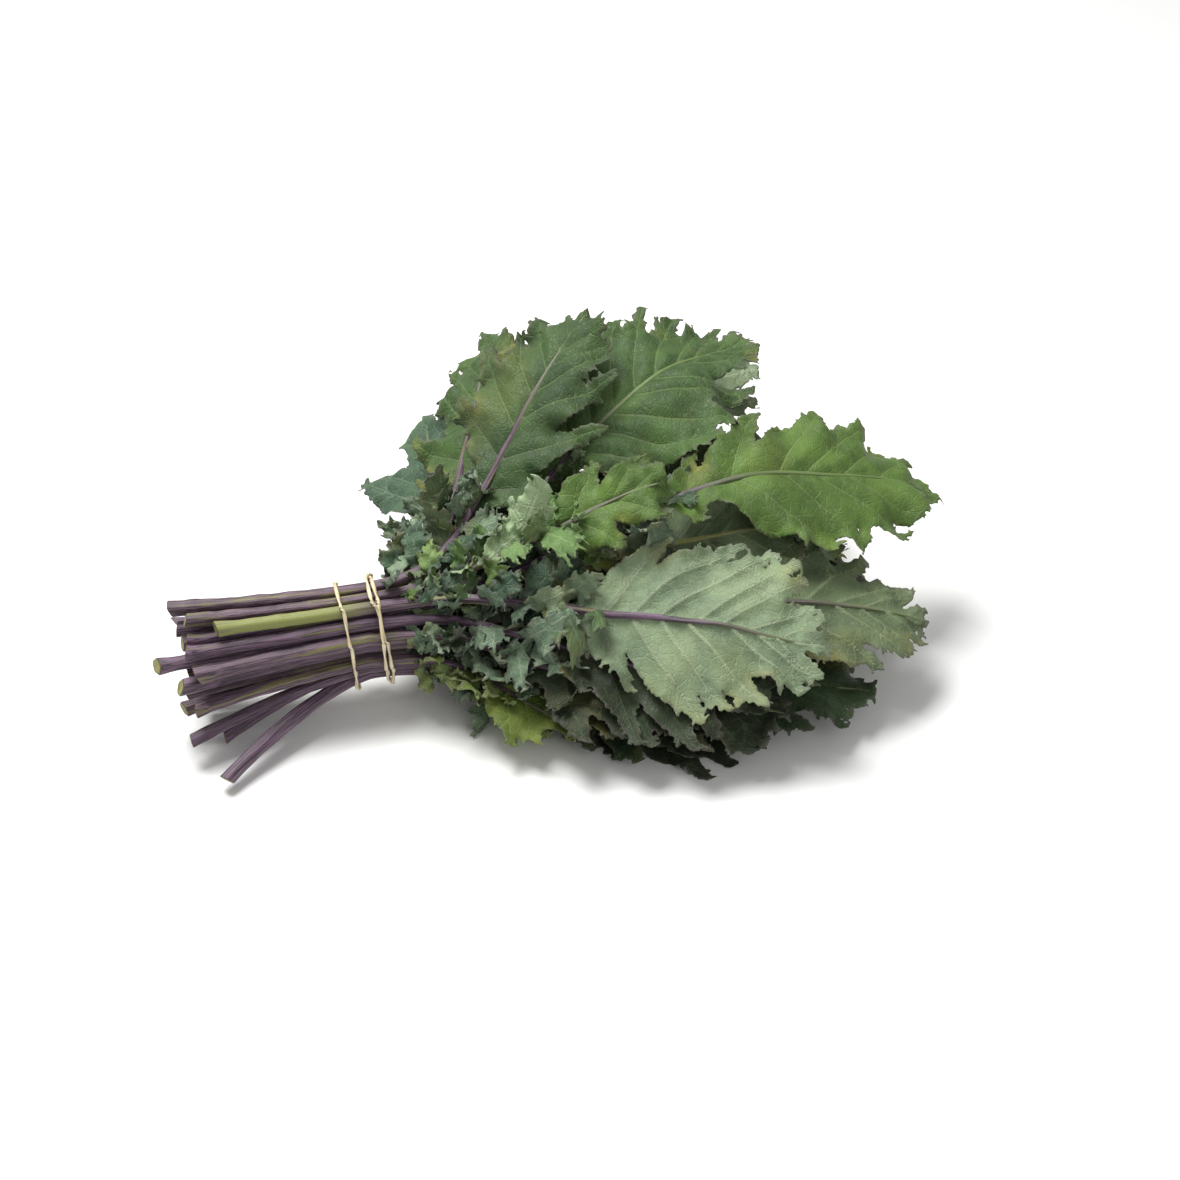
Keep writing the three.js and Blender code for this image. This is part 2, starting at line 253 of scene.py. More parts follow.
@dataclass(frozen=True)
class Mound:
    """The leafy side of the bunch, a mound of layers from the floor to its crown."""

    neck: Neck = Neck()
    turn_length: float = 70.0
    floor_layer: float = 3.4
    floor_reach: float = 110.0
    crown_reach: float = 200.0
    crown_low: float = 22.0
    crown_high: float = 158.0
    crown_front: float = math.radians(-45)
    crown_back: float = math.radians(50)
    crown_fall: float = 90.0
    crown_fall_width: float = math.radians(60)
    droop_start: float = 180.0
    droop: float = 26.0
    least_depth: float = 8.0
    lateral_step: float = 4.0
    sway: float = 2.4
    calm_reach: float = 70.0
    calm_gap: float = 9.0

    def bottom(self, x: Array, y: Array) -> Array:
        """Gives the height of the lowest layer.

        Args:
            x: places along the bunch.
            y: places across it.

        Returns:
            Heights over the surface.
        """
        neck_bottom = self.neck.height - self.neck.half_height
        share = ease(np.hypot(x, y) / self.floor_reach)
        return neck_bottom + (self.floor_layer - neck_bottom) * share

    def depth(self, x: Array, y: Array) -> Array:
        """Gives the height from the lowest layer to the crown.

        Args:
            x: places along the bunch.
            y: places across it.

        Returns:
            Depths of the mound.
        """
        reach = np.hypot(x, y)
        yaw = np.arctan2(y, x)
        turn = (yaw - self.crown_front) / (self.crown_back - self.crown_front)
        rise = (self.crown_high - self.crown_low) * ease(turn)
        fall = self.crown_fall * ease((yaw - self.crown_back) / self.crown_fall_width)
        neck_top = self.neck.height + self.neck.half_height
        droop = self.droop * (np.maximum(0.0, reach - self.droop_start) / 100) ** 2
        climb = (self.crown_low + rise - fall - neck_top) * ease(reach / self.crown_reach)
        return np.maximum(neck_top + climb - droop - self.bottom(x, y), self.least_depth)

    def height(self, x: Array, y: Array, level: Array) -> Array:
        """Gives the height of a layer, where level 0 lies on the floor and level 1 is the crown.

        Args:
            x: places along the bunch.
            y: places across it.
            level: which layer.

        Returns:
            Heights over the surface.
        """
        return self.bottom(x, y) + self.depth(x, y) * level

    def gap(self, x: Array, y: Array) -> Array:
        """Gives the height between two rows of leaves.

        Args:
            x: places along the bunch.
            y: places across it.

        Returns:
            Heights of the gap.
        """
        return self.depth(x, y) / (self.neck.rows - 1)

    def waves(self, x: Array, y: Array, level: Array) -> Array:
        """Gives the broad waves that neighbouring leaves share, so that they nest and don't cross.

        Args:
            x: places along the bunch.
            y: places across it.
            level: which layer.

        Returns:
            Heights to add to the layer.
        """
        phase = level * 4.0
        wave = np.sin(x / 14.0 + y / 19.0 + phase) + np.sin(y / 12.0 - x / 26.0 + 1.7 - phase)
        wave = wave + 0.5 * np.sin(x / 7.3 - y / 9.1 + 0.6 + 1.3 * phase)
        calm = ease((np.hypot(x, y) - self.calm_reach) / self.calm_reach)
        room = np.minimum(1.0, self.gap(x, y) / self.calm_gap)
        return self.sway * wave * calm * room * (0.35 + 0.65 * level)


@dataclass(frozen=True)
class Vein:
    """A straight piece of a vein in the flat blade, with the tissue that it carries.

    start and end are places, web the tissue's half-widths there, girth the vein's own half-widths,
    and order is 0 for the midrib, 1 for a side vein and 2 for a vein that ends in a tooth.
    """

    start: tuple[float, float]
    end: tuple[float, float]
    web: tuple[float, float]
    girth: tuple[float, float]
    order: int

    def near(self, points: Array) -> tuple[Array, Array, Array]:
        """Measures how far points are from the vein.

        Args:
            points: places in the flat blade.

        Returns:
            The distances, how far along the vein the nearest places are, from 0 to 1, and on which
            side of the vein the points are, as a sign.
        """
        start = np.array(self.start)
        run = np.array(self.end) - start
        offset = points - start
        share = np.clip(offset @ run / max(run @ run, 1e-9), 0.0, 1.0)
        side = np.sign(run[0] * offset[:, 1] - run[1] * offset[:, 0])
        return np.linalg.norm(offset - share[:, None] * run, axis=1), share, side


@dataclass
class Sheet:
    """A flat blade cut into triangles, with what its points know of the veins and the margin.

    points are places along and across the midrib, and rim the directed edges of its outline. inset is
    the distance from the margin and relief a soft mask of the veins. vein is the signed distance from
    the nearest vein in its own half-widths, and near the same distance in millimetres, unsigned. web is
    a wider mask round the veins, and lift the share by which the teeth and lobes curl up or down.
    """

    points: Array
    faces: Array
    rim: Array
    inset: Array
    relief: Array
    vein: Array
    near: Array
    web: Array
    lift: Array


def snap_grid(points: Array, values: Array, shape: tuple[int, int], pitch: float) -> None:
    """Moves grid points that nearly lie on the outline onto it, so that no sliver is cut there.

    Args:
        points: places of the grid's points, changed in place.
        values: the outline's field at them, changed in place.
        shape: how many rows and columns the grid has.
        pitch: the grid's spacing.
    """
    along, across = np.gradient(values.reshape(shape), pitch)
    slope = np.stack([along.ravel(), across.ravel()], axis=1)
    steep = np.maximum((slope**2).sum(axis=1), 0.05)
    near = np.abs(values) < 0.3 * pitch * np.sqrt(steep)
    points[near] -= (values[near] / steep[near])[:, None] * slope[near]
    values[near] = 0.0


def cut_sheet(points: Array, values: Array,
              shape: tuple[int, int]) -> tuple[Array, Array]:
    """Cuts a grid of triangles along the line where a field is zero and keeps the negative side.

    Args:
        points: places of the grid's points.
        values: the field at them.
        shape: how many rows and columns the grid has.

    Returns:
        The kept points and the triangles between them.
    """
    rows, columns = shape
    i, j = np.meshgrid(np.arange(rows - 1), np.arange(columns - 1), indexing="ij")
    a = (i * columns + j).ravel()
    b, c, d = a + columns, a + columns + 1, a + 1
    even = ((i + j) % 2 == 0).ravel()[:, None]
    first = np.where(even, np.stack([a, b, c], 1), np.stack([a, b, d], 1))
    second = np.where(even, np.stack([a, c, d], 1), np.stack([b, c, d], 1))
    corners = np.concatenate([first, second])
    inside = values[corners] <= 0
    count = inside.sum(axis=1)
    total = len(points)
    keys: list[Array] = []

    def odd_first(chosen: Array, odd: Array) -> Array:
        """Turns each chosen triangle so that its odd corner comes first."""
        turn = np.argmax(odd, axis=1)[:, None]
        return np.take_along_axis(chosen, (np.arange(3)[None, :] + turn) % 3, axis=1)

    def crossing(kept: Array, lost: Array) -> Array:
        """Names the point where an edge crosses the line, or its kept end if that lies on the line.

        Args:
            kept: ends of the edges inside the line.
            lost: their ends outside it.

        Returns:
            One number a point.
        """
        key = np.where(values[kept] == 0, kept, total + kept * total + lost)
        keys.append(key)
        return key

    one = odd_first(corners[count == 1], inside[count == 1])
    two = odd_first(corners[count == 2], ~inside[count == 2])
    tips = np.stack([one[:, 0], crossing(one[:, 0], one[:, 1]), crossing(one[:, 0], one[:, 2])], 1)
    low, high = crossing(two[:, 1], two[:, 0]), crossing(two[:, 2], two[:, 0])
    faces = np.concatenate([
        corners[count == 3],
        tips,
        np.stack([low, two[:, 1], two[:, 2]], 1),
        np.stack([low, two[:, 2], high], 1),
    ])
    distinct = (faces[:, 0] != faces[:, 1]) & (faces[:, 1] != faces[:, 2]) & (faces[:, 2] != faces[:, 0])
    faces = faces[distinct]
    names, index = np.unique(faces, return_inverse=True)
    made = names >= total
    kept, lost = (names[made] - total) // total, (names[made] - total) % total
    share = values[kept] / (values[kept] - values[lost])
    places = np.empty((len(names), 2))
    places[~made] = points[names[~made]]
    places[made] = points[kept] + share[:, None] * (points[lost] - points[kept])
    return places, index.reshape(-1, 3)


def largest_part(points: Array, faces: Array) -> tuple[Array, Array]:
    """Keeps the largest connected part of a surface, so that no crumb floats off the margin.

    Args:
        points: the surface's points.
        faces: its triangles.

    Returns:
        The kept points and the triangles between them.
    """
    label = np.arange(len(points))
    while True:
        lowest = label.copy()
        np.minimum.at(lowest, faces.ravel(), np.repeat(label[faces].min(axis=1), 3))
        lowest = lowest[lowest]
        if (lowest == label).all():
            break
        label = lowest
    part = label[faces[:, 0]]
    names, index = np.unique(faces[part == np.bincount(part).argmax()], return_inverse=True)
    return points[names], index.reshape(-1, 3)


def outline_edges(faces: Array) -> Array:
    """Finds the edges that only one triangle has.

    Args:
        faces: triangles.

    Returns:
        The edges, each in its triangle's direction.
    """
    edges = np.concatenate([faces[:, [0, 1]], faces[:, [1, 2]], faces[:, [2, 0]]])
    size = edges.max() + 1
    forward = edges[:, 0] * size + edges[:, 1]
    backward = edges[:, 1] * size + edges[:, 0]
    return edges[~np.isin(forward, backward)]


@dataclass
class Blade:
    """A flat kale blade grown from its veins: a midrib, side veins with their lobes, and teeth."""

    length: float
    width: float
    spacing: float
    cut: float
    pitch: float
    rng: np.random.Generator
    power: float = 1.3
    fullness: float = 0.64
    jag: float = 1.3
    rib_girth: float = 1.6
    midrib_steps: int = 10
    # Shares of the midrib at which teeth grow near the tip, with the side they turn to.
    tip_teeth: tuple[tuple[float, int], ...] = ((0.97, 1), (0.97, -1), (0.93, 1), (0.935, -1))
    front_teeth: tuple[float, ...] = (0.1, 0.24, 0.42, 0.58, 0.8)
    back_teeth: tuple[float, ...] = (0.5, 0.68, 0.88, 1.06)
    # Longest a side vein grows, in strides, and how many give it its full girth.
    most_strides: int = 80
    full_strides: int = 14
    veins: list[Vein] = field(default_factory=list)
    # Place, share and radius of each swelling by which a tooth or lobe curls up or down.
    tips: list[tuple[float, float, float, float]] = field(default_factory=list)

    def half_width(self, share: float) -> float:
        """Gives half the blade's width.

        Args:
            share: how far along the blade, from 0 to 1.

        Returns:
            The half-width.
        """
        share = min(max(share, 0.0), 1.0)
        return self.width / 2 * max(math.sin(math.pi * share**self.power), 0.0) ** self.fullness

    def grow_midrib(self) -> None:
        """Grows the midrib and the strip of tissue along it."""
        for step in range(self.midrib_steps):
            near, far = step / self.midrib_steps, (step + 1) / self.midrib_steps
            web = [self.spacing * (0.16 + 0.34 * ease(share * 3) - 0.42 * ease((share - 0.66) / 0.34))
                   for share in (near, far)]
            girth = [self.rib_girth * (1 - 0.75 * share) for share in (near, far)]
            self.veins.append(Vein((near * self.length, 0.0), (far * self.length, 0.0),
                                   tuple(web), tuple(girth), 0))
        for share, side in self.tip_teeth:
            self.grow_tooth((share * self.length, 0.0), 0.0, side, 1, 1.0)

    def grow_tooth(self, spot: tuple[float, float], along: float, turn: int, side: int,
                   scale: float) -> None:
        """Grows a vein that ends in a tooth.

        Args:
            spot: where it starts, to the left of the midrib.
            along: direction of the vein it starts from, in radians.
            turn: 1 or -1, the side of that vein on which it grows.
            side: 1 to the left of the midrib, -1 to the right.
            scale: size of the tooth.
        """
        rng = self.rng
        angle = along + turn * math.radians(rng.uniform(32, 58))
        run = self.spacing * scale * rng.uniform(0.3, 0.52)
        end = (spot[0] + run * math.cos(angle), spot[1] + run * math.sin(angle))
        web = (self.spacing * 0.17 * scale, self.spacing * rng.uniform(0.01, 0.05))
        girth = self.rib_girth * 0.16
        self.veins.append(Vein((spot[0], side * spot[1]), (end[0], side * end[1]), web,
                               (girth, girth * 0.5), 2))
        self.tips.append((end[0], side * end[1], rng.uniform(-0.7, 0.7), self.spacing * 0.24))

    def grow_lobe(self, start: float, side: int, sign: int) -> None:
        """Grows a side vein from the midrib to the margin, with its lobe and teeth.

        Args:
            start: where on the midrib it starts.
            side: 1 to the left of the midrib, -1 to the right.
            sign: whether the lobe curls up or down.
        """
        rng = self.rng
        share = start / self.length
        heading = math.radians(72 - 48 * share + rng.uniform(-7, 7))
        reach = rng.uniform(0.84, 1.18)
        stride = self.spacing * 0.16
        line = [(start, 0.0)]
        directions = [heading]
        while len(line) < self.most_strides:
            u, v = line[-1]
            if v > self.half_width(u / self.length) * reach - self.spacing * 0.1 or u > self.length:
                break
            line.append((u + stride * math.cos(heading), v + stride * math.sin(heading)))
            directions.append(heading)
            heading -= math.radians(0.9) * rng.uniform(-0.4, 2.4)
        count = len(line) - 1
        if count < 1:
            return
        length = count * stride
        bay = min(self.spacing * (0.45 + 1.5 * self.cut), 0.6 * length) * rng.uniform(0.75, 1.2)
        size = min(1.0, 0.3 + 0.7 * length / (1.6 * self.spacing))
        narrow = self.spacing * 0.27 * size
        broad = self.spacing * 0.56 * size
        girth = self.rib_girth * 0.5 * min(1.0, count / self.full_strides)
        for step in range(count):
            shares = step / count, (step + 1) / count
            web = []
            for t in shares:
                left = length * (1 - t)
                open_share = ease((left - 0.7 * bay) / (0.45 * bay))
                tip = 0.14 + 0.86 * min(1.0, left / (0.75 * bay)) ** 0.8
                web.append(narrow * tip + (broad - narrow) * open_share)
            self.veins.append(Vein(
                (line[step][0], side * line[step][1]), (line[step + 1][0], side * line[step + 1][1]),
                tuple(web), tuple(girth * (1 - 0.7 * t) for t in shares), 1))
        tip = line[-1]
        lift = sign * rng.uniform(0.35, 1.0)
        self.tips.append((tip[0], side * tip[1], lift, self.spacing * 0.6))
        scale = min(1.0, 0.35 + 0.65 * length / (2 * self.spacing))
        turn = -1
        for away in self.front_teeth:
            index = round((length - away * bay * rng.uniform(0.85, 1.15)) / stride)
            if index < 1 or line[min(index, count)][1] < self.spacing * 0.3:
                continue
            index = min(index, count)
            self.grow_tooth(line[index], directions[index], turn, side, scale * (0.6 + 0.5 * away))
            turn = -turn
        for away in self.back_teeth if start > self.spacing else ():
            index = round((length - away * bay - self.spacing * rng.uniform(0.1, 0.4)) / stride)
            if 0 < index < count and line[index][1] > self.spacing * 0.4:
                self.grow_tooth(line[index], directions[index], 1, side, scale * 1.35)

    def grow(self) -> None:
        """Grows the midrib and all lobes, in pairs from the base to the tip."""
        self.grow_midrib()
        start = self.length * 0.03
        sign = 1
        while start < self.length * 0.93:
            for side in (1, -1):
                shift = self.rng.uniform(-0.22, 0.22) * self.spacing
                self.grow_lobe(max(start + shift, 0.0), side, sign * side)
            sign = -sign
            start += self.spacing * self.rng.uniform(0.82, 1.12) * (1 - 0.3 * start / self.length)
        self.tips.append((self.length, 0.0, self.rng.uniform(-0.5, 0.5), self.spacing * 0.6))

    def outline(self, points: Array) -> Array:
        """Gives the field that is negative inside the blade, with rounded bays between the lobes.

        Args:
            points: places in the flat blade.

        Returns:
            The field at them.
        """
        blend = self.spacing * 0.035
        total = np.zeros(len(points))
        for vein in self.veins:
            distance, share, _ = vein.near(points)
            web = vein.web[0] + (vein.web[1] - vein.web[0]) * share
            total += np.exp(np.clip((web - distance) / blend, -60.0, 60.0))
        u, v = points[:, 0] / self.jag, np.abs(points[:, 1]) / self.jag
        sharp = np.abs(np.sin(u + 0.55 * v + 0.8 * np.sin(0.7 * v)))
        sharp = sharp + np.abs(np.sin(0.75 * u - v + 0.9 * np.sin(0.6 * u)))
        return self.jag * (0.62 * sharp - 0.5) - blend * np.log(total + 1e-26)

    def sheet(self) -> Sheet:
        """Cuts the grown blade out of a grid and measures it.

        Returns:
            The flat blade.
        """
        self.grow()
        margin = self.spacing * 0.9
        along = np.arange(-margin, self.length + margin, self.pitch)
        across = np.arange(-self.width * 0.58 - margin, self.width * 0.58 + margin, self.pitch)
        grid = np.stack(np.meshgrid(along, across, indexing="ij"), axis=-1).reshape(-1, 2)
        values = self.outline(grid)
        shape = (len(along), len(across))
        snap_grid(grid, values, shape, self.pitch)
        points, faces = largest_part(*cut_sheet(grid, values, shape))
        rim = outline_edges(faces)
        border = points[np.unique(rim)]
        tree = KDTree(len(border))
        for index, (u, v) in enumerate(border):
            tree.insert((u, v, 0.0), index)
        tree.balance()
        inset = np.array([tree.find((u, v, 0.0))[2] for u, v in points])
        count = len(points)
        relief, web = np.zeros(count), np.zeros(count)
        vein, near = np.full(count, NO_VEIN), np.full(count, NO_VEIN)
        for piece in self.veins:
            distance, share, side = piece.near(points)
            girth = np.maximum(piece.girth[0] + (piece.girth[1] - piece.girth[0]) * share, 0.12)
            strength = (1.0, 0.9, 0.4)[piece.order]
            relief = np.maximum(relief, strength * np.exp(-((distance / np.maximum(girth, 0.55)) ** 2)))
            closer = distance < near
            vein = np.where(closer, side * np.minimum(distance / girth, NO_VEIN), vein)
            near = np.where(closer, distance, near)
            if piece.order < 2:
                web = np.maximum(web, np.exp(-((distance / (self.spacing * 0.16)) ** 2)))
        lift = np.zeros(count)
        for u, v, share, radius in self.tips:
            gap = (points[:, 0] - u) ** 2 + (points[:, 1] - v) ** 2
            lift += share * np.exp(-gap / (2 * radius**2))
        return Sheet(points, faces, rim, inset, relief, vein, near, web, lift)


@dataclass
class Shell:
    """Triangles of one piece, with the masks that its finishes read.

    skin is the material slot of each triangle and smooth its shading. vein and near say how far the
    nearest vein is, and margin is a mask of the rim. grow runs from 0 at the cut end to 1 at the leaf's
    tip, and grain is a place in millimetres to lay patterns by.
    """

    points: Array
    faces: Array
    skin: Array
    smooth: Array
    vein: Array
    near: Array
    margin: Array
    grow: Array
    grain: Array

    @staticmethod
    def plain(points: Array, faces: Array, slot: int, grain: Array,
              margin: Array | float = 0.0, grow: Array | float = 0.0) -> "Shell":
        """Makes a smooth shell without veins, all in one material slot.

        Args:
            points: its points.
            faces: its triangles.
            slot: the material slot.
            grain: places to lay patterns by.
            margin: the mask of the rim.
            grow: how far along the leaf the points are.

        Returns:
            The shell.
        """
        none = np.full(len(points), NO_VEIN)
        margin, grow = (np.broadcast_to(mask, len(points)) for mask in (margin, grow))
        return Shell(points, faces, np.full(len(faces), slot), np.full(len(faces), True), none, none,
                     margin, grow, grain)

    @staticmethod
    def join(shells: list["Shell"]) -> "Shell":
        """Puts shells together as one.

        Args:
            shells: the shells.

        Returns:
            One shell with all their triangles.
        """
        starts = np.cumsum([0] + [len(shell.points) for shell in shells[:-1]])
        faces = [shell.faces + start for shell, start in zip(shells, starts)]
        rest = {name: np.concatenate([getattr(shell, name) for shell in shells])
                for name in ("points", "skin", "smooth", "vein", "near", "margin", "grow", "grain")}
        return Shell(faces=np.concatenate(faces), **rest)


def point_normals(points: Array, faces: Array) -> Array:
    """Gives the normal of a surface at its points.

    Args:
        points: the surface's points.
        faces: its triangles.

    Returns:
        One unit vector a point.
    """
    corner = points[faces]
    area = np.cross(corner[:, 1] - corner[:, 0], corner[:, 2] - corner[:, 0])
    total = np.zeros_like(points)
    for axis in range(3):
        for turn in range(3):
            total[:, axis] += np.bincount(faces[:, turn], area[:, axis], len(points))
    return unit(total)


def thicken(sheet: Sheet, middle: Array, face: Face, grow: float, seed: float,
            skins: tuple[int, int], thickness: float = 0.5, relief: float = 0.8) -> Shell:
    """Makes a blade's two sides and its thin margin from its middle surface.

    Args:
        sheet: the flat blade.
        middle: the places of its points.
        face: which side of the leaf is up.
        grow: how far along the leaf the blade starts, from 0 to 1.
        seed: shift of the patterns.
        skins: material slots of the leaf's upper and under side.
        thickness: of the tissue.
        relief: how far the veins stand out of the under side.

    Returns:
        The blade.
    """
    normals = point_normals(middle, sheet.faces)
    raised = relief * sheet.relief
    thin = np.minimum(thickness, 0.16 + sheet.inset * 0.25)
    over = thin / 2 + (raised if face is Face.UNDER else -0.35 * raised)
    under = thin / 2 + (raised if face is Face.UPPER else -0.35 * raised)
    top = middle + normals * over[:, None]
    base = middle - normals * under[:, None]
    count = len(middle)
    a, b = sheet.rim[:, 0], sheet.rim[:, 1]
    rim = np.concatenate([np.stack([b, a, a + count], 1), np.stack([b, a + count, b + count], 1)])
    faces = np.concatenate([sheet.faces, sheet.faces[:, ::-1] + count, rim])
    upper, lower = skins if face is Face.UPPER else skins[::-1]
    sizes = (len(sheet.faces), len(sheet.faces), len(rim))
    along = sheet.points[:, 0] / max(sheet.points[:, 0].max(), 1e-6)
    grain = np.column_stack([sheet.points, np.full(count, seed)])
    return Shell(
        points=np.concatenate([top, base]),
        faces=faces,
        skin=np.repeat([upper, lower, upper], sizes),
        smooth=np.repeat([True, True, False], sizes),
        vein=np.tile(sheet.vein, 2),
        near=np.tile(sheet.near, 2),
        margin=np.tile(np.exp(-sheet.inset / 2.2), 2),
        grow=np.tile(grow + (1 - grow) * along, 2),
        grain=np.tile(grain, (2, 1)),
    )


@dataclass(frozen=True)
class Tube:
    """A stalk's round skin: ridged, and a little flat on its upper side."""

    corners: int = 18
    ridges: int = 5
    ridge_depth: float = 0.06
    flat: float = 0.12

    def rings(self, centres: Array, radii: Array, up_side: float) -> Array:
        """Places the corners round the stalk's line.

        Args:
            centres: the stalk's line.
            radii: its radius at each of those points.
            up_side: 1 where the leaf's upper side is up, -1 where it is down.

        Returns:
            An array of rings, corners and coordinates.
        """
        along = unit(np.gradient(centres, axis=0))
        side = unit(np.stack([-along[:, 1], along[:, 0], np.zeros(len(along))], axis=1))
        up = np.cross(along, side)
        up *= np.sign(up[:, 2:3])
        turn = np.linspace(0, 2 * np.pi, self.corners, endpoint=False)
        ridge = 1 + self.ridge_depth * np.cos(self.ridges * turn)[None, :]
        away = np.cos(turn - up_side * np.pi / 2)
        ridge = ridge - self.flat * np.exp(-((1 - away) / 0.35) ** 2)[None, :]
        size = radii[:, None] * ridge
        return (centres[:, None, :]
                + (size * np.cos(turn))[..., None] * side[:, None, :]
                + (size * np.sin(turn))[..., None] * up[:, None, :])


def ring_faces(rings: int, corners: int, closed: bool = False) -> Array:
    """Joins rings of corners with triangles.

    Args:
        rings: how many rings there are.
        corners: how many corners each has.
        closed: whether the last ring joins the first.

    Returns:
        The triangles.
    """
    joined = rings if closed else rings - 1
    ring, corner = np.meshgrid(np.arange(joined), np.arange(corners), indexing="ij")
    following = (ring + 1) % rings * corners
    a = (ring * corners + corner).ravel()
    b = (ring * corners + (corner + 1) % corners).ravel()
    c = (following + (corner + 1) % corners).ravel()
    d = (following + corner).ravel()
    return np.concatenate([np.stack([a, b, c], 1), np.stack([a, c, d], 1)])


def fan(first: int, corners: int, hub: int) -> Array:
    """Closes a ring with triangles that meet in one point.

    Args:
        first: the ring's first corner.
        corners: how many corners it has.
        hub: the point in its middle.

    Returns:
        The triangles.
    """
    corner = np.arange(corners)
    return np.stack([first + corner, first + (corner + 1) % corners, np.full(corners, hub)], axis=1)


def outward(points: Array, faces: Array, centre: Array) -> Array:
    """Turns a tube's triangles so that they face away from its line.

    Args:
        points: the tube's points.
        faces: its triangles, all turned one way.
        centre: a point on its line near its first triangle.

    Returns:
        The triangles, facing outward.
    """
    corner = points[faces[0]]
    normal = np.cross(corner[1] - corner[0], corner[2] - corner[0])
    return faces if normal @ (corner.mean(axis=0) - centre) > 0 else faces[:, ::-1]


class Slot(IntEnum):
    """Material slots of a leaf."""

    STALK = 0
    CUT = 1
    UPPER = 2
    UNDER = 3
    LEAFLET_UPPER = 4
    LEAFLET_UNDER = 5


OWN_SKINS = (Slot.UPPER, Slot.UNDER)
LEAFLET_SKINS = (Slot.LEAFLET_UPPER, Slot.LEAFLET_UNDER)


@dataclass(frozen=True)
class Accent:
    """A leaflet that shows clearly in the photograph, with its own place, size and direction.

    along is its distance from the neck, axis the direction of its tip and crest that of its shown side.
    """

    along: float
    size: float
    axis: tuple[float, float, float]
    crest: tuple[float, float, float] = (0.0, -0.7, 0.7)
    outline: int = 0


ACCENTS = {
    27: [Accent(78, 2.1, (0.45, 0.6, 0.5), (0.1, -0.35, 0.93), 2),
         Accent(58, 1.2, (0.75, 0.5, 0.3), outline=5)],
    24: [Accent(124, 0.95, (0.9, -0.1, 0.3), outline=4), Accent(136, 0.7, (0.5, -0.7, 0.1), outline=7)],
    23: [Accent(128, 0.9, (0.8, 0.5, 0.3), outline=1), Accent(112, 1.1, (0.9, -0.5, 0.1), outline=3)],
}


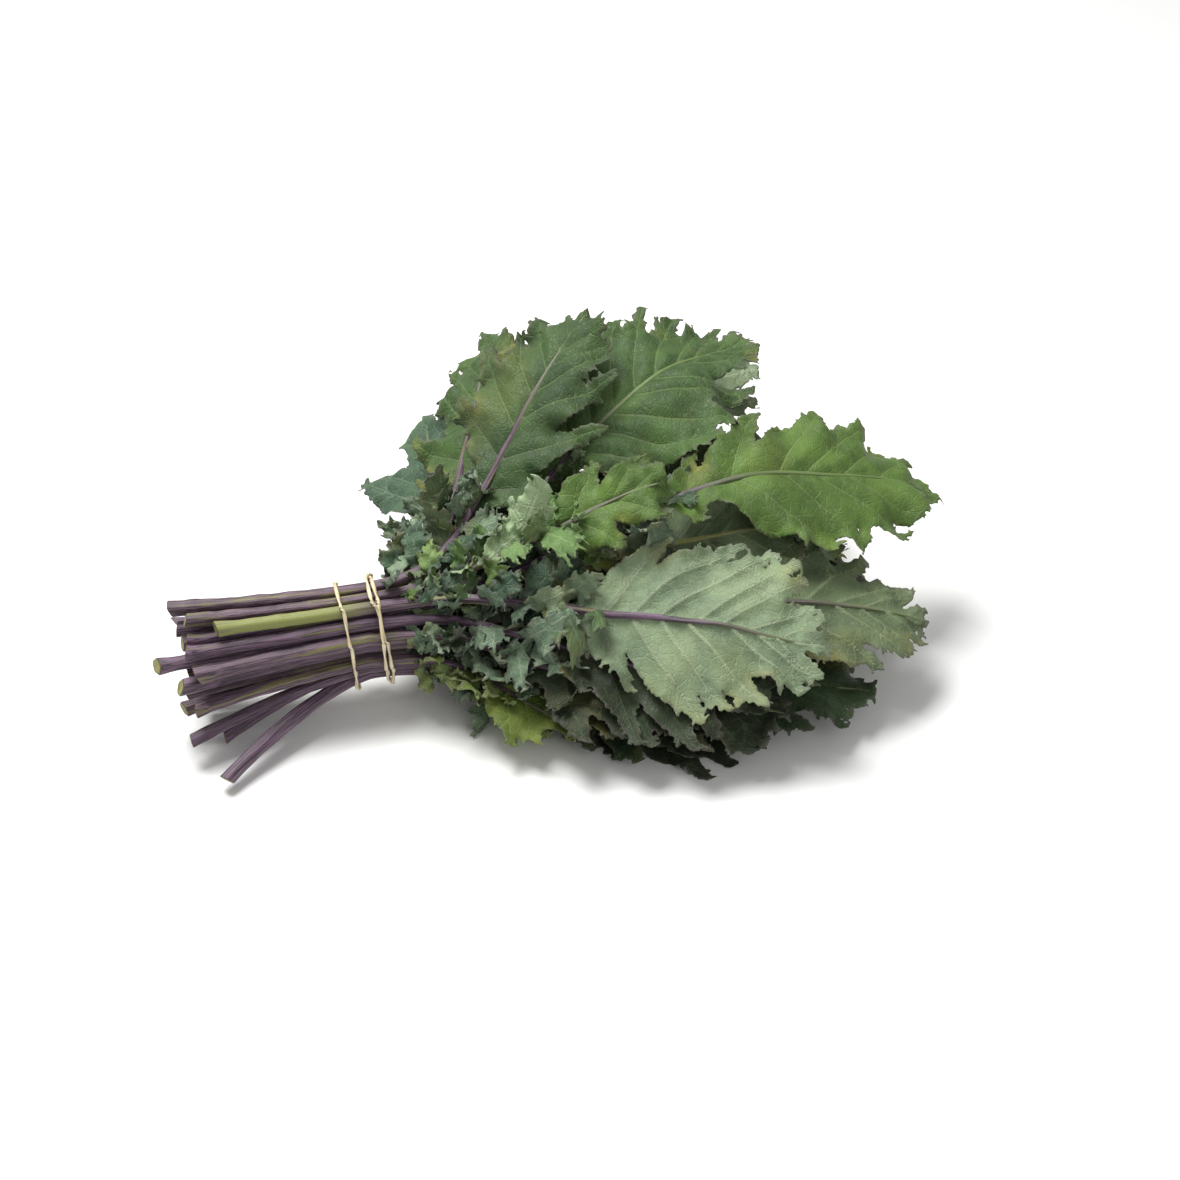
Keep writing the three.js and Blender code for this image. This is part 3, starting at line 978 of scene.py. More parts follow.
@dataclass
class Leaf:
    """One whole leaf: stalk, midrib, blade and the small leaflets on its stalk."""

    number: int
    plan: LeafPlan
    mound: Mound
    lobe_spacing: float = 19.5
    path_step: float = 1.5
    frill: float = 4.6
    frill_reach: float = 8.0
    frill_length: float = 27.0
    ripple: float = 0.9
    ripple_length: float = 9.5
    pucker: float = 1.7
    fold: float = 0.07
    # The blade stays calm this near to the midrib.
    stiff_width: float = 22.0
    # How far a blade stands off its layer: at least, in the top row, and as a factor in the next row.
    least_room: float = 2.0
    top_room: float = 10.0
    upper_room: float = 1.4
    knob_size: float = 0.07
    cut_slant: float = 0.3
    # Shares of the radius at which the cut end's rings lie, and how far each stands out.
    cut_profile: tuple[tuple[float, float], ...] = (
        (1.0, 0.0), (0.93, 0.35), (0.8, 0.42), (0.62, 0.2), (0.4, -0.1), (0.18, -0.3))
    # Grid spacings of the blades, by row from the floor up: the upper rows show most.
    blade_pitches: tuple[float, ...] = (1.9, 1.9, 1.8, 1.6, 1.45, 1.3, 1.25)
    # Rows from this one up show their leaflets, and leaves turned further than this lie at the back.
    shown_row: int = 5
    back_yaw: float = 0.95
    # Least and greatest distance between two leaflets, where they show and where they don't.
    shown_step: tuple[float, float] = (3.6, 6.4)
    hidden_step: tuple[float, float] = (8.0, 13.0)
    # Least and greatest tilt of leaflets in degrees, lean off the stalk and twist about their own line.
    tilt_inside: tuple[float, float] = (-18, 22)
    tilt_top: tuple[float, float] = (0, 70)
    tilt_outside: tuple[float, float] = (-35, 55)
    tilt_floor: tuple[float, float] = (-5, 35)
    lean: tuple[float, float] = (38, 78)
    twist: tuple[float, float] = (-45, 45)
    # Least and greatest radius to which leaflets roll up.
    roll_along: tuple[float, float] = (18, 50)
    roll_across: tuple[float, float] = (7, 18)
    leaflet_sheets: list[Sheet] = field(default_factory=list)

    def __post_init__(self) -> None:
        """Seeds the leaf's chances and lays its line in plan."""
        self.rng = np.random.default_rng(1000 + self.number)
        self.stoutness = self.rng.uniform(0.84, 1.03)
        self.flare = self.rng.uniform(0.02, 0.3)
        self.lay_path()

    def level(self, along: Array) -> Array:
        """Gives the leaf's level in the mound.

        Args:
            along: distances from the neck.

        Returns:
            Levels, from 0 on the floor to 1 at the crown.
        """
        lift = self.plan.lift * ease(along / self.plan.blade)
        return (self.plan.row + lift) / (self.mound.neck.rows - 1)

    def lay_path(self) -> None:
        """Lays the stalk and midrib in plan, from the neck to the tip."""
        plan, neck, step = self.plan, self.mound.neck, self.path_step
        side = neck.side_offset(plan)
        x, y, yaw = -side * math.sin(neck.yaw), side * math.cos(neck.yaw), neck.yaw
        rows = [(0.0, x, y, yaw)]
        for along in np.arange(step, plan.reach + 1e-9, step):
            turn = ease((along - step / 2) / self.mound.turn_length)
            yaw = neck.yaw + (math.radians(plan.yaw) - neck.yaw) * turn
            before = self.mound.height(x, y, self.level(along - step))
            east, north = math.cos(yaw), math.sin(yaw)
            after = self.mound.height(x + step * east, y + step * north, self.level(along))
            flat = step / math.hypot(1, (after - before) / step)
            x, y = x + flat * east, y + flat * north
            rows.append((along, x, y, yaw))
        self.path = np.array(rows)

    def spread(self, along: Array, across: Array, bump: Array) -> Array:
        """Lays places of the flat leaf on its layer of the mound.

        Args:
            along: distances from the neck along the midrib.
            across: distances to the left of the midrib.
            bump: heights over the layer.

        Returns:
            One point a row.
        """
        held = np.clip(along, 0.0, self.path[-1, 0])
        x, y, yaw = (np.interp(held, self.path[:, 0], self.path[:, k]) for k in (1, 2, 3))
        x, y = x + (along - held) * np.cos(yaw), y + (along - held) * np.sin(yaw)
        level = self.level(along)
        direction = np.where(across < 0, -1.0, 1.0)
        nx, ny = -np.sin(yaw) * direction, np.cos(yaw) * direction
        left = np.abs(across)
        while left.max() > 1e-6:
            step = np.minimum(self.mound.lateral_step, left)
            slope = self.mound.height(x + nx, y + ny, level) - self.mound.height(x, y, level)
            x, y = x + nx * step / np.hypot(1, slope), y + ny * step / np.hypot(1, slope)
            left = left - step
        stiff = 0.3 + 0.7 * ease(np.abs(across) / self.stiff_width)
        z = self.mound.height(x, y, level) + self.mound.waves(x, y, level) * stiff
        dx = (self.mound.height(x + 1, y, level) - self.mound.height(x - 1, y, level)) / 2
        dy = (self.mound.height(x, y + 1, level) - self.mound.height(x, y - 1, level)) / 2
        normal = unit(np.stack([-dx, -dy, np.ones_like(dx)], axis=-1))
        room = np.maximum(0.45 * self.mound.gap(x, y), self.least_room)
        top = self.mound.neck.rows - 1
        over = {top: self.top_room, top - 1: room * self.upper_room}.get(self.plan.row, room)
        bump = np.where(bump > 0, over * np.tanh(bump / over), room * np.tanh(bump / room))
        place = np.stack([x, y, z], axis=-1) + normal * bump[:, None]
        place[:, 2] = np.maximum(place[:, 2], FLOOR_CLEARANCE + BUNCH_FLOOR)
        return place

    def ruffle(self, sheet: Sheet) -> Array:
        """Gives how the blade's surface stands over its layer: frills, puckers and a fold at the midrib.

        Args:
            sheet: the flat blade.

        Returns:
            Heights over the layer.
        """
        u, v = sheet.points[:, 0], sheet.points[:, 1]
        rng = self.rng
        edge = np.exp(-sheet.inset / self.frill_reach)
        phase = rng.uniform(0, 2 * np.pi, 4)
        wander = 1.2 * np.sin(np.abs(v) / 13.0 + phase[0])
        wave = np.sin(2 * np.pi * u / self.frill_length + wander + np.where(v > 0, phase[1], phase[2]))
        ripple = np.sin(2 * np.pi * (u * 0.8 + np.abs(v) * 0.55) / self.ripple_length + phase[3])
        up_side = self.plan.face.value
        height = self.frill * sheet.lift * (0.3 + 0.7 * edge)
        height += self.frill * 0.75 * wave * edge + self.ripple * ripple * edge**2
        height += up_side * self.pucker * (1 - sheet.web) * (1 - edge)
        height += up_side * self.fold * np.abs(v)
        return height

    def blade_shell(self) -> Shell:
        """Grows the blade, with fewer and wider lobes where it is deeply cut, and lays it on its layer.

        Returns:
            The blade.
        """
        plan = self.plan
        pitch = self.blade_pitches[plan.row]
        spacing = self.lobe_spacing * (1 + 2.6 * max(0.0, plan.cut - 0.8))
        sheet = Blade(plan.reach - plan.blade, plan.width, spacing, plan.cut, pitch, self.rng).sheet()
        middle = self.spread(plan.blade + sheet.points[:, 0], sheet.points[:, 1], self.ruffle(sheet))
        grow = (plan.stalk + plan.blade) / (plan.stalk + plan.reach)
        return thicken(sheet, middle, plan.face, grow, PATTERN_STEP * self.number, OWN_SKINS)

    def stalk_line(self) -> tuple[Array, Array]:
        """Gives the line of the stalk and midrib from the cut end to the tip.

        Returns:
            Its points, and their distances from the neck, negative on the cut side.
        """
        plan = self.plan
        back = np.linspace(plan.stalk, 0.0, round(plan.stalk / 3) + 1)[:-1]
        cut_side = self.mound.neck.stalk_points(plan, back)
        along = np.linspace(0.0, plan.reach - 2.0, round(plan.reach / 3.6))
        in_blade = ease((along - plan.blade) / 25.0)
        sunk = -plan.face.value * in_blade * 0.45
        leafy = self.spread(along, np.zeros(len(along)), sunk)
        return np.concatenate([cut_side, leafy]), np.concatenate([-back, along])

    def stalk_radii(self, along: Array) -> Array:
        """Gives the radius of the stalk and midrib.

        Args:
            along: distances from the neck, negative on the cut side.

        Returns:
            The radii.
        """
        plan, radius = self.plan, self.mound.neck.stalk_radius * self.stoutness
        stalk = radius * (1 + 0.1 * np.clip(-along / plan.stalk, 0, 1))
        flare = self.flare * radius * np.exp(-(along + plan.stalk) / 6.0)
        petiole = radius * (1 - 0.4 * np.clip(along / plan.blade, 0, 1))
        share = np.clip((along - plan.blade) / (plan.reach - plan.blade), 0, 1)
        rib = radius * 0.6 * (1 - share) ** 0.8 + 0.35
        radii = np.where(along < 0, stalk + flare, np.where(along < plan.blade, petiole, rib))
        knobs = self.rng.normal(0, 1, len(along))
        knobs = np.convolve(knobs, [0.25, 0.5, 0.25], "same")
        away = ease((np.abs(along) - 14) / 20) * np.where(along < plan.blade, 1.0, 0.3)
        return radii * (1 + self.knob_size * knobs * away)

    def round_grain(self, radii: Array, distance: Array, corners: int) -> Array:
        """Gives places round the stalk's line to lay patterns by.

        Args:
            radii: the stalk's radius at each ring.
            distance: each ring's distance from the cut end.
            corners: how many corners a ring has.

        Returns:
            One place a row.
        """
        turn = np.linspace(0, 2 * np.pi, corners, endpoint=False)
        return np.stack([
            radii[:, None] * np.cos(turn) + PATTERN_STEP * self.number,
            radii[:, None] * np.sin(turn),
            np.broadcast_to(distance[:, None], (len(radii), corners)),
        ], axis=-1).reshape(-1, 3)

    def stalk_shell(self) -> Shell:
        """Builds the stalk and midrib with the cut end's face.

        Returns:
            The stalk.
        """
        plan, tube = self.plan, Tube()
        centres, along = self.stalk_line()
        radii = self.stalk_radii(along)
        rings = tube.rings(centres, radii, plan.face.value)
        away = unit(centres[0] - centres[1])
        slant = np.clip(self.rng.normal(0, self.cut_slant, 3), -0.5, 0.5)
        rings[0] += ((rings[0] - centres[0]) @ slant)[:, None] * away
        skin = outward(rings.reshape(-1, 3), ring_faces(len(rings), tube.corners), centres[0])
        flip = skin[0, 1] - skin[0, 0] in (1, -1) and skin[0, 0] < skin[0, 1]
        distance = along + plan.stalk
        tip = len(rings) * tube.corners
        nose = fan(tip - tube.corners, tube.corners, tip)
        grain = self.round_grain(radii, distance, tube.corners)
        grow = np.repeat(distance / (plan.stalk + plan.reach), tube.corners)
        body = Shell.plain(
            np.concatenate([rings.reshape(-1, 3), centres[-1:]]),
            np.concatenate([skin, nose if flip else nose[:, ::-1]]),
            Slot.STALK,
            np.concatenate([grain, grain[-1:]]),
            grow=np.append(grow, 1.0),
        )
        return Shell.join([body, self.cut_face(rings[0], centres[0], away, flip)])

    def cut_face(self, ring: Array, centre: Array, away: Array, flip: bool) -> Shell:
        """Builds the cut end's face, a little hollow in the pith and proud at the rind.

        Args:
            ring: the stalk's first ring.
            centre: its middle.
            away: the direction out of the stalk.
            flip: whether the ring's corners run so that the face has to be turned.

        Returns:
            The face.
        """
        slant = unit(away + self.rng.normal(0, 0.2, 3))
        shares, proud = np.array(self.cut_profile).T
        spokes, corners = ring - centre, len(ring)
        points = centre + shares[:, None, None] * spokes + (proud[:, None] * slant)[:, None, :]
        hub = len(shares) * corners
        faces = np.concatenate([ring_faces(len(shares), corners), fan(hub - corners, corners, hub)])
        radius = np.linalg.norm(spokes, axis=1).mean()
        grain = self.round_grain(shares * radius, np.zeros(len(shares)), corners)
        return Shell.plain(
            np.concatenate([points.reshape(-1, 3), [centre + proud[-1] * slant]]),
            faces[:, ::-1] if flip else faces,
            Slot.CUT,
            np.concatenate([grain, [[PATTERN_STEP * self.number, 0.0, 0.0]]]),
            margin=np.append(np.repeat(shares, corners), 0.0),
        )

    def leaflet_shells(self) -> list[Shell]:
        """Grows the small frilled leaflets along the stalk, on both its sides.

        Returns:
            One shell a leaflet.
        """
        plan, rng = self.plan, self.rng
        centres, along = self.stalk_line()
        tangents = unit(np.gradient(centres, axis=0))
        shells = []
        back = plan.row > 1 and math.radians(plan.yaw) > self.back_yaw
        spot = rng.uniform(9, 13) if back else rng.uniform(15, 22)
        side = 1 if rng.random() < 0.5 else -1
        row_size = sum(other.row == plan.row for other in LEAVES)
        shown = plan.row >= self.shown_row or plan.place in (0, row_size - 1)
        step = self.shown_step if shown else self.hidden_step
        while spot < plan.blade + (24 if shown else 4):
            index = int(np.argmin(np.abs(along - spot)))
            size = (0.5 + 0.7 * min(spot / plan.blade, 1.0)) * rng.uniform(0.7, 1.3)
            size = max(size, rng.uniform(0.85, 1.25)) if back and side > 0 else size
            size *= 0.6 if spot > plan.blade + 6 else 1.0
            outside = (plan.place == 0 and side < 0) or (plan.place == row_size - 1 and side > 0)
            half = len(self.leaflet_sheets) // 2
            coarse = plan.row < 3 or (plan.row < self.shown_row and not outside)
            sheet = self.leaflet_sheets[int(rng.integers(half)) + (half if coarse else 0)]
            start, axis, crest = self.leaflet_pose(centres[index], tangents[index], side, outside, spot)
            face = Face.UPPER if rng.random() < 0.6 else Face.UNDER
            skins = OWN_SKINS if rng.random() < 0.3 else LEAFLET_SKINS
            shells.append(self.leaflet(sheet, start, axis, crest, size, spot, face, skins))
            side = -side
            spot += rng.uniform(*step)
        for accent in ACCENTS.get(self.number, []):
            start = centres[int(np.argmin(np.abs(along - accent.along)))]
            crest, axis = unit(np.array(accent.crest)), unit(np.array(accent.axis))
            crest = unit(crest - (crest @ axis) * axis)
            sheet = self.leaflet_sheets[accent.outline]
            skins = LEAFLET_SKINS if self.number == MINT_LEAF else OWN_SKINS
            shells.append(self.leaflet(sheet, start + 2.0 * crest, axis, crest, accent.size, accent.along,
                                       Face.UNDER, skins))
        return shells

    def leaflet_pose(self, place: Array, forward: Array, side: int, outside: bool,
                     along: float) -> tuple[Array, Array, Array]:
        """Chooses how a leaflet stands out from the stalk.

        Args:
            place: where it grows.
            forward: the stalk's direction.
            side: 1 to the left, -1 to the right.
            outside: whether that side is at the outside of the bunch.
            along: its distance from the neck.

        Returns:
            Where it starts, the direction of its tip and that of its shown side.
        """
        plan, rng = self.plan, self.rng
        tilts = self.tilt_inside
        if plan.row == self.mound.neck.rows - 1:
            tilts = self.tilt_top
        elif outside:
            tilts = self.tilt_outside if plan.row > 0 else self.tilt_floor
        tilt = math.radians(rng.uniform(*tilts))
        left = unit(np.array([-forward[1], forward[0], 0.0]))
        up = unit(np.cross(forward, left))
        up = up if up[2] > 0 else -up
        out = left * side * math.cos(tilt) + up * math.sin(tilt)
        crest = up * math.cos(tilt) - left * side * math.sin(tilt)
        lean = math.radians(rng.uniform(*self.lean))
        axis = unit(forward * math.cos(lean) + out * math.sin(lean))
        twist = math.radians(rng.uniform(*self.twist))
        cross = unit(np.cross(crest, axis))
        crest = np.cross(axis, cross) * math.cos(twist) - cross * math.sin(twist)
        return place + out * self.stalk_radii(np.array([along]))[0] * 0.5, axis, crest

    def leaflet(self, sheet: Sheet, start: Array, axis: Array, crest: Array, size: float,
                along: float, face: Face, skins: tuple[int, int]) -> Shell:
        """Bends one leaflet out from the stalk.

        Args:
            sheet: its flat outline.
            start: where it grows.
            axis: the direction of its tip.
            crest: the direction of its shown side.
            size: its scale.
            along: its distance from the neck.
            face: which of its sides is the shown one.
            skins: material slots of its upper and under side.

        Returns:
            The leaflet.
        """
        plan, rng = self.plan, self.rng
        cross = np.cross(crest, axis)
        u, v = sheet.points[:, 0] * size, sheet.points[:, 1] * size
        curl_along = rng.choice([-1, 1]) / rng.uniform(*self.roll_along)
        curl_across = rng.choice([-1, 1]) / rng.uniform(*self.roll_across)
        edge = np.exp(-sheet.inset * size / 3.0)
        phase = rng.uniform(0, 2 * np.pi, 2)
        height = 2.0 * size * sheet.lift
        height = height + 1.4 * edge * np.sin(2 * np.pi * u / 8.0 + np.where(v > 0, phase[0], phase[1]))
        for place, curl in ((u, curl_along), (v, curl_across)):
            height = height + (1 - np.cos(place * curl)) / curl
        run, reach = np.sin(u * curl_along) / curl_along, np.sin(v * curl_across) / curl_across
        middle = start + run[:, None] * axis + reach[:, None] * cross + height[:, None] * crest
        middle[:, 2] = np.maximum(middle[:, 2], LEAFLET_CLEARANCE + BUNCH_FLOOR)
        grow = (plan.stalk + along) / (plan.stalk + plan.reach)
        seed = PATTERN_STEP * self.number + along
        return thicken(sheet, middle, face, grow, seed, skins, thickness=0.45, relief=0.5)

    def shell(self) -> Shell:
        """Builds the whole leaf: stalk, blade and leaflets."""
        return Shell.join([self.stalk_shell(), self.blade_shell(), *self.leaflet_shells()])


def leaflet_sheets(count: int = 12) -> list[Sheet]:
    """Grows the flat outlines that the leaflets are bent from.

    Args:
        count: how many different outlines there are.

    Returns:
        The outlines, first cut into fine triangles and then into coarse ones.
    """
    sheets = []
    for pitch in (0.95, 1.3):
        for number in range(count):
            rng = np.random.default_rng(500 + number)
            blade = Blade(rng.uniform(18, 26), rng.uniform(13, 20), rng.uniform(6.4, 8.4),
                          rng.uniform(0.4, 0.6), pitch, rng, power=1.15, jag=0.95, rib_girth=0.7)
            sheets.append(blade.sheet())
    return sheets


@dataclass
class RubberBand:
    """The rubber band, one twisted loop wound three times round the neck."""

    leaves: list[Leaf]
    places: tuple[float, ...] = (-12.0, 5.25, 5.25)
    half_width: float = 1.0
    half_thickness: float = 0.7
    gap: float = 0.6
    cross_from: float = math.radians(-70)
    cross_to: float = math.radians(10)
    lift: float = 2.0
    slant: float = 3.4
    twist_half_turns: int = 3
    twist_side: float = 1.6
    twist_lift: float = 0.9
    steps: int = 150
    corners: int = 10
    twists: int = 33

    def loop(self, forward: float) -> Array:
        """Gives the stalks' middles where they cross a plane square to the neck.

        Args:
            forward: the plane's distance from the neck.

        Returns:
            Distances to the back and heights, one stalk a row.
        """
        rows = []
        for leaf in self.leaves:
            neck = leaf.mound.neck
            if forward <= 0:
                x, y, z = neck.stalk_points(leaf.plan, np.array([-forward]))[0]
            else:
                x, y = (np.interp(forward, leaf.path[:, 0], leaf.path[:, k]) for k in (1, 2))
                z = leaf.mound.height(x, y, leaf.level(forward))
            rows.append((-x * math.sin(neck.yaw) + y * math.cos(neck.yaw), z))
        return np.array(rows)

    def tight(self, stalks: Array, angle: float, lift: float) -> Array:
        """Gives where the tight band lies in one direction round the neck.

        Args:
            stalks: middles of the stalks.
            angle: the direction.
            lift: how far the band stands off.

        Returns:
            A distance to the back and a height.
        """
        away = np.array([math.cos(angle), math.sin(angle)])
        reach = stalks @ away
        near = np.exp((reach - reach.max()) / 0.35)
        outer = (near[:, None] * stalks).sum(axis=0) / near.sum()
        radius = self.leaves[0].mound.neck.stalk_radius * 1.02
        return outer + away * (radius + self.gap + self.half_thickness + lift)

    def twist(self, turn: int, angle: float) -> tuple[float, float]:
        """Gives how the second and third turns of the band wind round each other.

        Args:
            turn: which turn of the band.
            angle: the direction from the neck.

        Returns:
            How far the strand strays along the neck, and how far it stands off.
        """
        free = self.cross_from + 2 * math.pi - self.cross_to
        share = min(max((angle - self.cross_to) / free, 0.0), 1.0)
        phase = share * self.twist_half_turns * math.pi
        sign = (0, -1, 1)[turn]
        raised = ease(8 * share) * ease(8 * (1 - share)) * abs(sign)
        lift = self.twist_lift * raised * (1 + sign * math.sin(phase))
        return sign * self.twist_side * math.cos(phase), lift

    def line(self) -> Array:
        """Gives the band's closed line.

        Returns:
            One point a row, with the direction away from the neck beside it.
        """
        yaw = self.leaves[0].mound.neck.yaw
        loops = [self.loop(place) for place in self.places]
        turn_over = self.cross_to - self.cross_from
        rows = []
        for turn, place in enumerate(self.places):
            following = (turn + 1) % len(self.places)
            for step in range(self.steps):
                angle = self.cross_to + step / self.steps * 2 * math.pi
                crossing = float(ease((angle - 2 * math.pi - self.cross_from) / turn_over))
                stray, lift = self.twist(turn, angle)
                if following == 0:
                    lift += self.lift * math.sin(math.pi * crossing) ** 0.5
                start = place + stray
                end = self.places[following] + self.twist(following, self.cross_to)[0]
                here, there = (self.tight(loops[k], angle, lift) for k in (turn, following))
                side, up = here + (there - here) * crossing
                forward = start + (end - start) * crossing - self.slant * math.sin(angle)
                rows.append((
                    forward * math.cos(yaw) - side * math.sin(yaw),
                    forward * math.sin(yaw) + side * math.cos(yaw),
                    up,
                    -math.cos(angle) * math.sin(yaw), math.cos(angle) * math.cos(yaw), math.sin(angle),
                ))
        return np.array(rows)

    def shell(self) -> Shell:
        """Builds the twisted strand.

        Returns:
            The band.
        """
        line = self.line()
        centres, away = line[:, :3], line[:, 3:]
        smooth = sum(np.roll(centres, shift, axis=0) for shift in (-2, -1, 0, 1, 2)) / 5
        along = unit(np.roll(smooth, -1, axis=0) - np.roll(smooth, 1, axis=0))
        wide = unit(np.cross(along, away))
        away = np.cross(wide, along)
        count = len(smooth)
        spin = np.linspace(0, 2 * np.pi * self.twists, count, endpoint=False)
        spin = spin + 0.8 * np.sin(np.linspace(0, 10 * np.pi, count, endpoint=False))
        turn = np.linspace(0, 2 * np.pi, self.corners, endpoint=False)
        flat = np.sign(np.cos(turn)) * np.abs(np.cos(turn)) ** 0.6 * self.half_width
        deep = np.sign(np.sin(turn)) * np.abs(np.sin(turn)) ** 0.6 * self.half_thickness * 0.8
        across = flat * np.cos(spin)[:, None] - deep * np.sin(spin)[:, None]
        outer = flat * np.sin(spin)[:, None] + deep * np.cos(spin)[:, None]
        rings = smooth[:, None, :] + across[..., None] * wide[:, None, :]
        rings = rings + outer[..., None] * away[:, None, :]
        points = rings.reshape(-1, 3)
        faces = outward(points, ring_faces(count, self.corners, closed=True), smooth[0])
        distance = np.cumsum(np.linalg.norm(smooth - np.roll(smooth, 1, axis=0), axis=1))
        grain = np.stack(np.broadcast_arrays(flat, deep, distance[:, None]), axis=-1)
        return Shell.plain(points, faces, 0, grain.reshape(-1, 3))


def linear(hexadecimal: str) -> tuple[float, float, float, float]:
    """Turns a screen colour into the linear one that shaders use.

    Args:
        hexadecimal: a colour such as "4f6b3c".

    Returns:
        Red, green, blue and alpha.
    """
    values = [int(hexadecimal[k:k + 2], 16) / 255 for k in (0, 2, 4)]
    return (*[v / 12.92 if v <= 0.04045 else ((v + 0.055) / 1.055) ** 2.4 for v in values], 1.0)


class Net:
    """Adds nodes to the tree of a material or a group and links them."""

    def __init__(self, tree: bpy.types.NodeTree) -> None:
        """Keeps the tree.

        Args:
            tree: the tree to add to.
        """
        self.tree = tree

    def node(self, kind: str, **settings: object) -> bpy.types.Node:
        """Adds a node.

        Args:
            kind: its type, without the ShaderNode at its front.
            settings: its properties.

        Returns:
            The node.
        """
        node = self.tree.nodes.new("ShaderNode" + kind)
        for name, value in settings.items():
            setattr(node, name, value)
        return node

    def feed(self, socket: Socket, value: object) -> None:
        """Gives a socket its value, or links another socket to it.

        Args:
            socket: the socket to feed.
            value: a socket, a number or a colour.
        """
        if isinstance(value, Socket):
            self.tree.links.new(value, socket)
        else:
            socket.default_value = value

    def math(self, operation: str, a: object, b: object = 0.0) -> Socket:
        """Adds a sum of two values.

        Args:
            operation: Blender's name of the sum.
            a: the first value.
            b: the second value.

        Returns:
            The result.
        """
        node = self.node("Math", operation=operation)
        self.feed(node.inputs[0], a)
        self.feed(node.inputs[1], b)
        return node.outputs[0]

    def ramp(self, value: object, low: float, high: float, to_low: float = 0.0,
             to_high: float = 1.0) -> Socket:
        """Turns a value between two limits smoothly into a mask.

        Args:
            value: the value.
            low: where the rise starts.
            high: where it ends.
            to_low: the result below low.
            to_high: the result above high.

        Returns:
            The mask.
        """
        node = self.node("MapRange", interpolation_type="SMOOTHSTEP")
        for index, each in enumerate((value, low, high, to_low, to_high)):
            self.feed(node.inputs[index], each)
        return node.outputs[0]

    def mix(self, share: object, a: object, b: object) -> Socket:
        """Mixes two colours.

        Args:
            share: how much of the second.
            a: the first colour.
            b: the second colour.

        Returns:
            The mixed colour.
        """
        node = self.node("Mix", data_type="RGBA")
        self.feed(node.inputs[0], share)
        self.feed(node.inputs[6], a)
        self.feed(node.inputs[7], b)
        return node.outputs[2]

    def grain(self, stretch: tuple[float, float, float] = (1.0, 1.0, 1.0)) -> Socket:
        """Reads the piece's own places in millimetres.

        Args:
            stretch: factors along the three axes.

        Returns:
            The places.
        """
        place = self.node("Attribute", attribute_name="grain").outputs["Vector"]
        if stretch == (1.0, 1.0, 1.0):
            return place
        node = self.node("VectorMath", operation="MULTIPLY")
        self.feed(node.inputs[0], place)
        node.inputs[1].default_value = stretch
        return node.outputs[0]

    def mask(self, name: str) -> Socket:
        """Reads one of the piece's masks.

        Args:
            name: vein, margin or grow.

        Returns:
            The mask.
        """
        return self.node("Attribute", attribute_name=name).outputs["Fac"]

    def noise(self, place: object, scale: float, detail: float = 3.0) -> Socket:
        """Adds soft noise.

        Args:
            place: where to read it.
            scale: how many swells a millimetre.
            detail: how many finer layers it has.

        Returns:
            Values round a half.
        """
        node = self.node("TexNoise")
        self.feed(node.inputs["Vector"], place)
        node.inputs["Scale"].default_value = scale
        node.inputs["Detail"].default_value = detail
        return node.outputs[0]

    def cells(self, place: object, scale: float, low: float, high: float) -> Socket:
        """Adds a net of fine lines between cells.

        Args:
            place: where to read it.
            scale: how many cells a millimetre.
            low: distance from a line where its mask is still 1.
            high: distance where it is 0.

        Returns:
            A mask of the lines.
        """
        node = self.node("TexVoronoi", feature="DISTANCE_TO_EDGE")
        self.feed(node.inputs["Vector"], place)
        node.inputs["Scale"].default_value = scale
        return self.ramp(node.outputs["Distance"], low, high, 1.0, 0.0)


def new_group(name: str, inputs: dict[str, object],
              outputs: dict[str, str]) -> tuple[Net, bpy.types.Node, bpy.types.Node]:
    """Starts a shader node group.

    Args:
        name: its name.
        inputs: names and default values, a colour or a number each.
        outputs: names and kinds, Color or Float.

    Returns:
        The group's net, its input node and its output node.
    """
    tree = bpy.data.node_groups.new(name, "ShaderNodeTree")
    for label, value in inputs.items():
        kind = "NodeSocketColor" if isinstance(value, tuple) else "NodeSocketFloat"
        tree.interface.new_socket(name=label, in_out="INPUT", socket_type=kind).default_value = value
    for label, kind in outputs.items():
        tree.interface.new_socket(name=label, in_out="OUTPUT", socket_type="NodeSocket" + kind)
    net = Net(tree)
    return net, tree.nodes.new("NodeGroupInput"), tree.nodes.new("NodeGroupOutput")


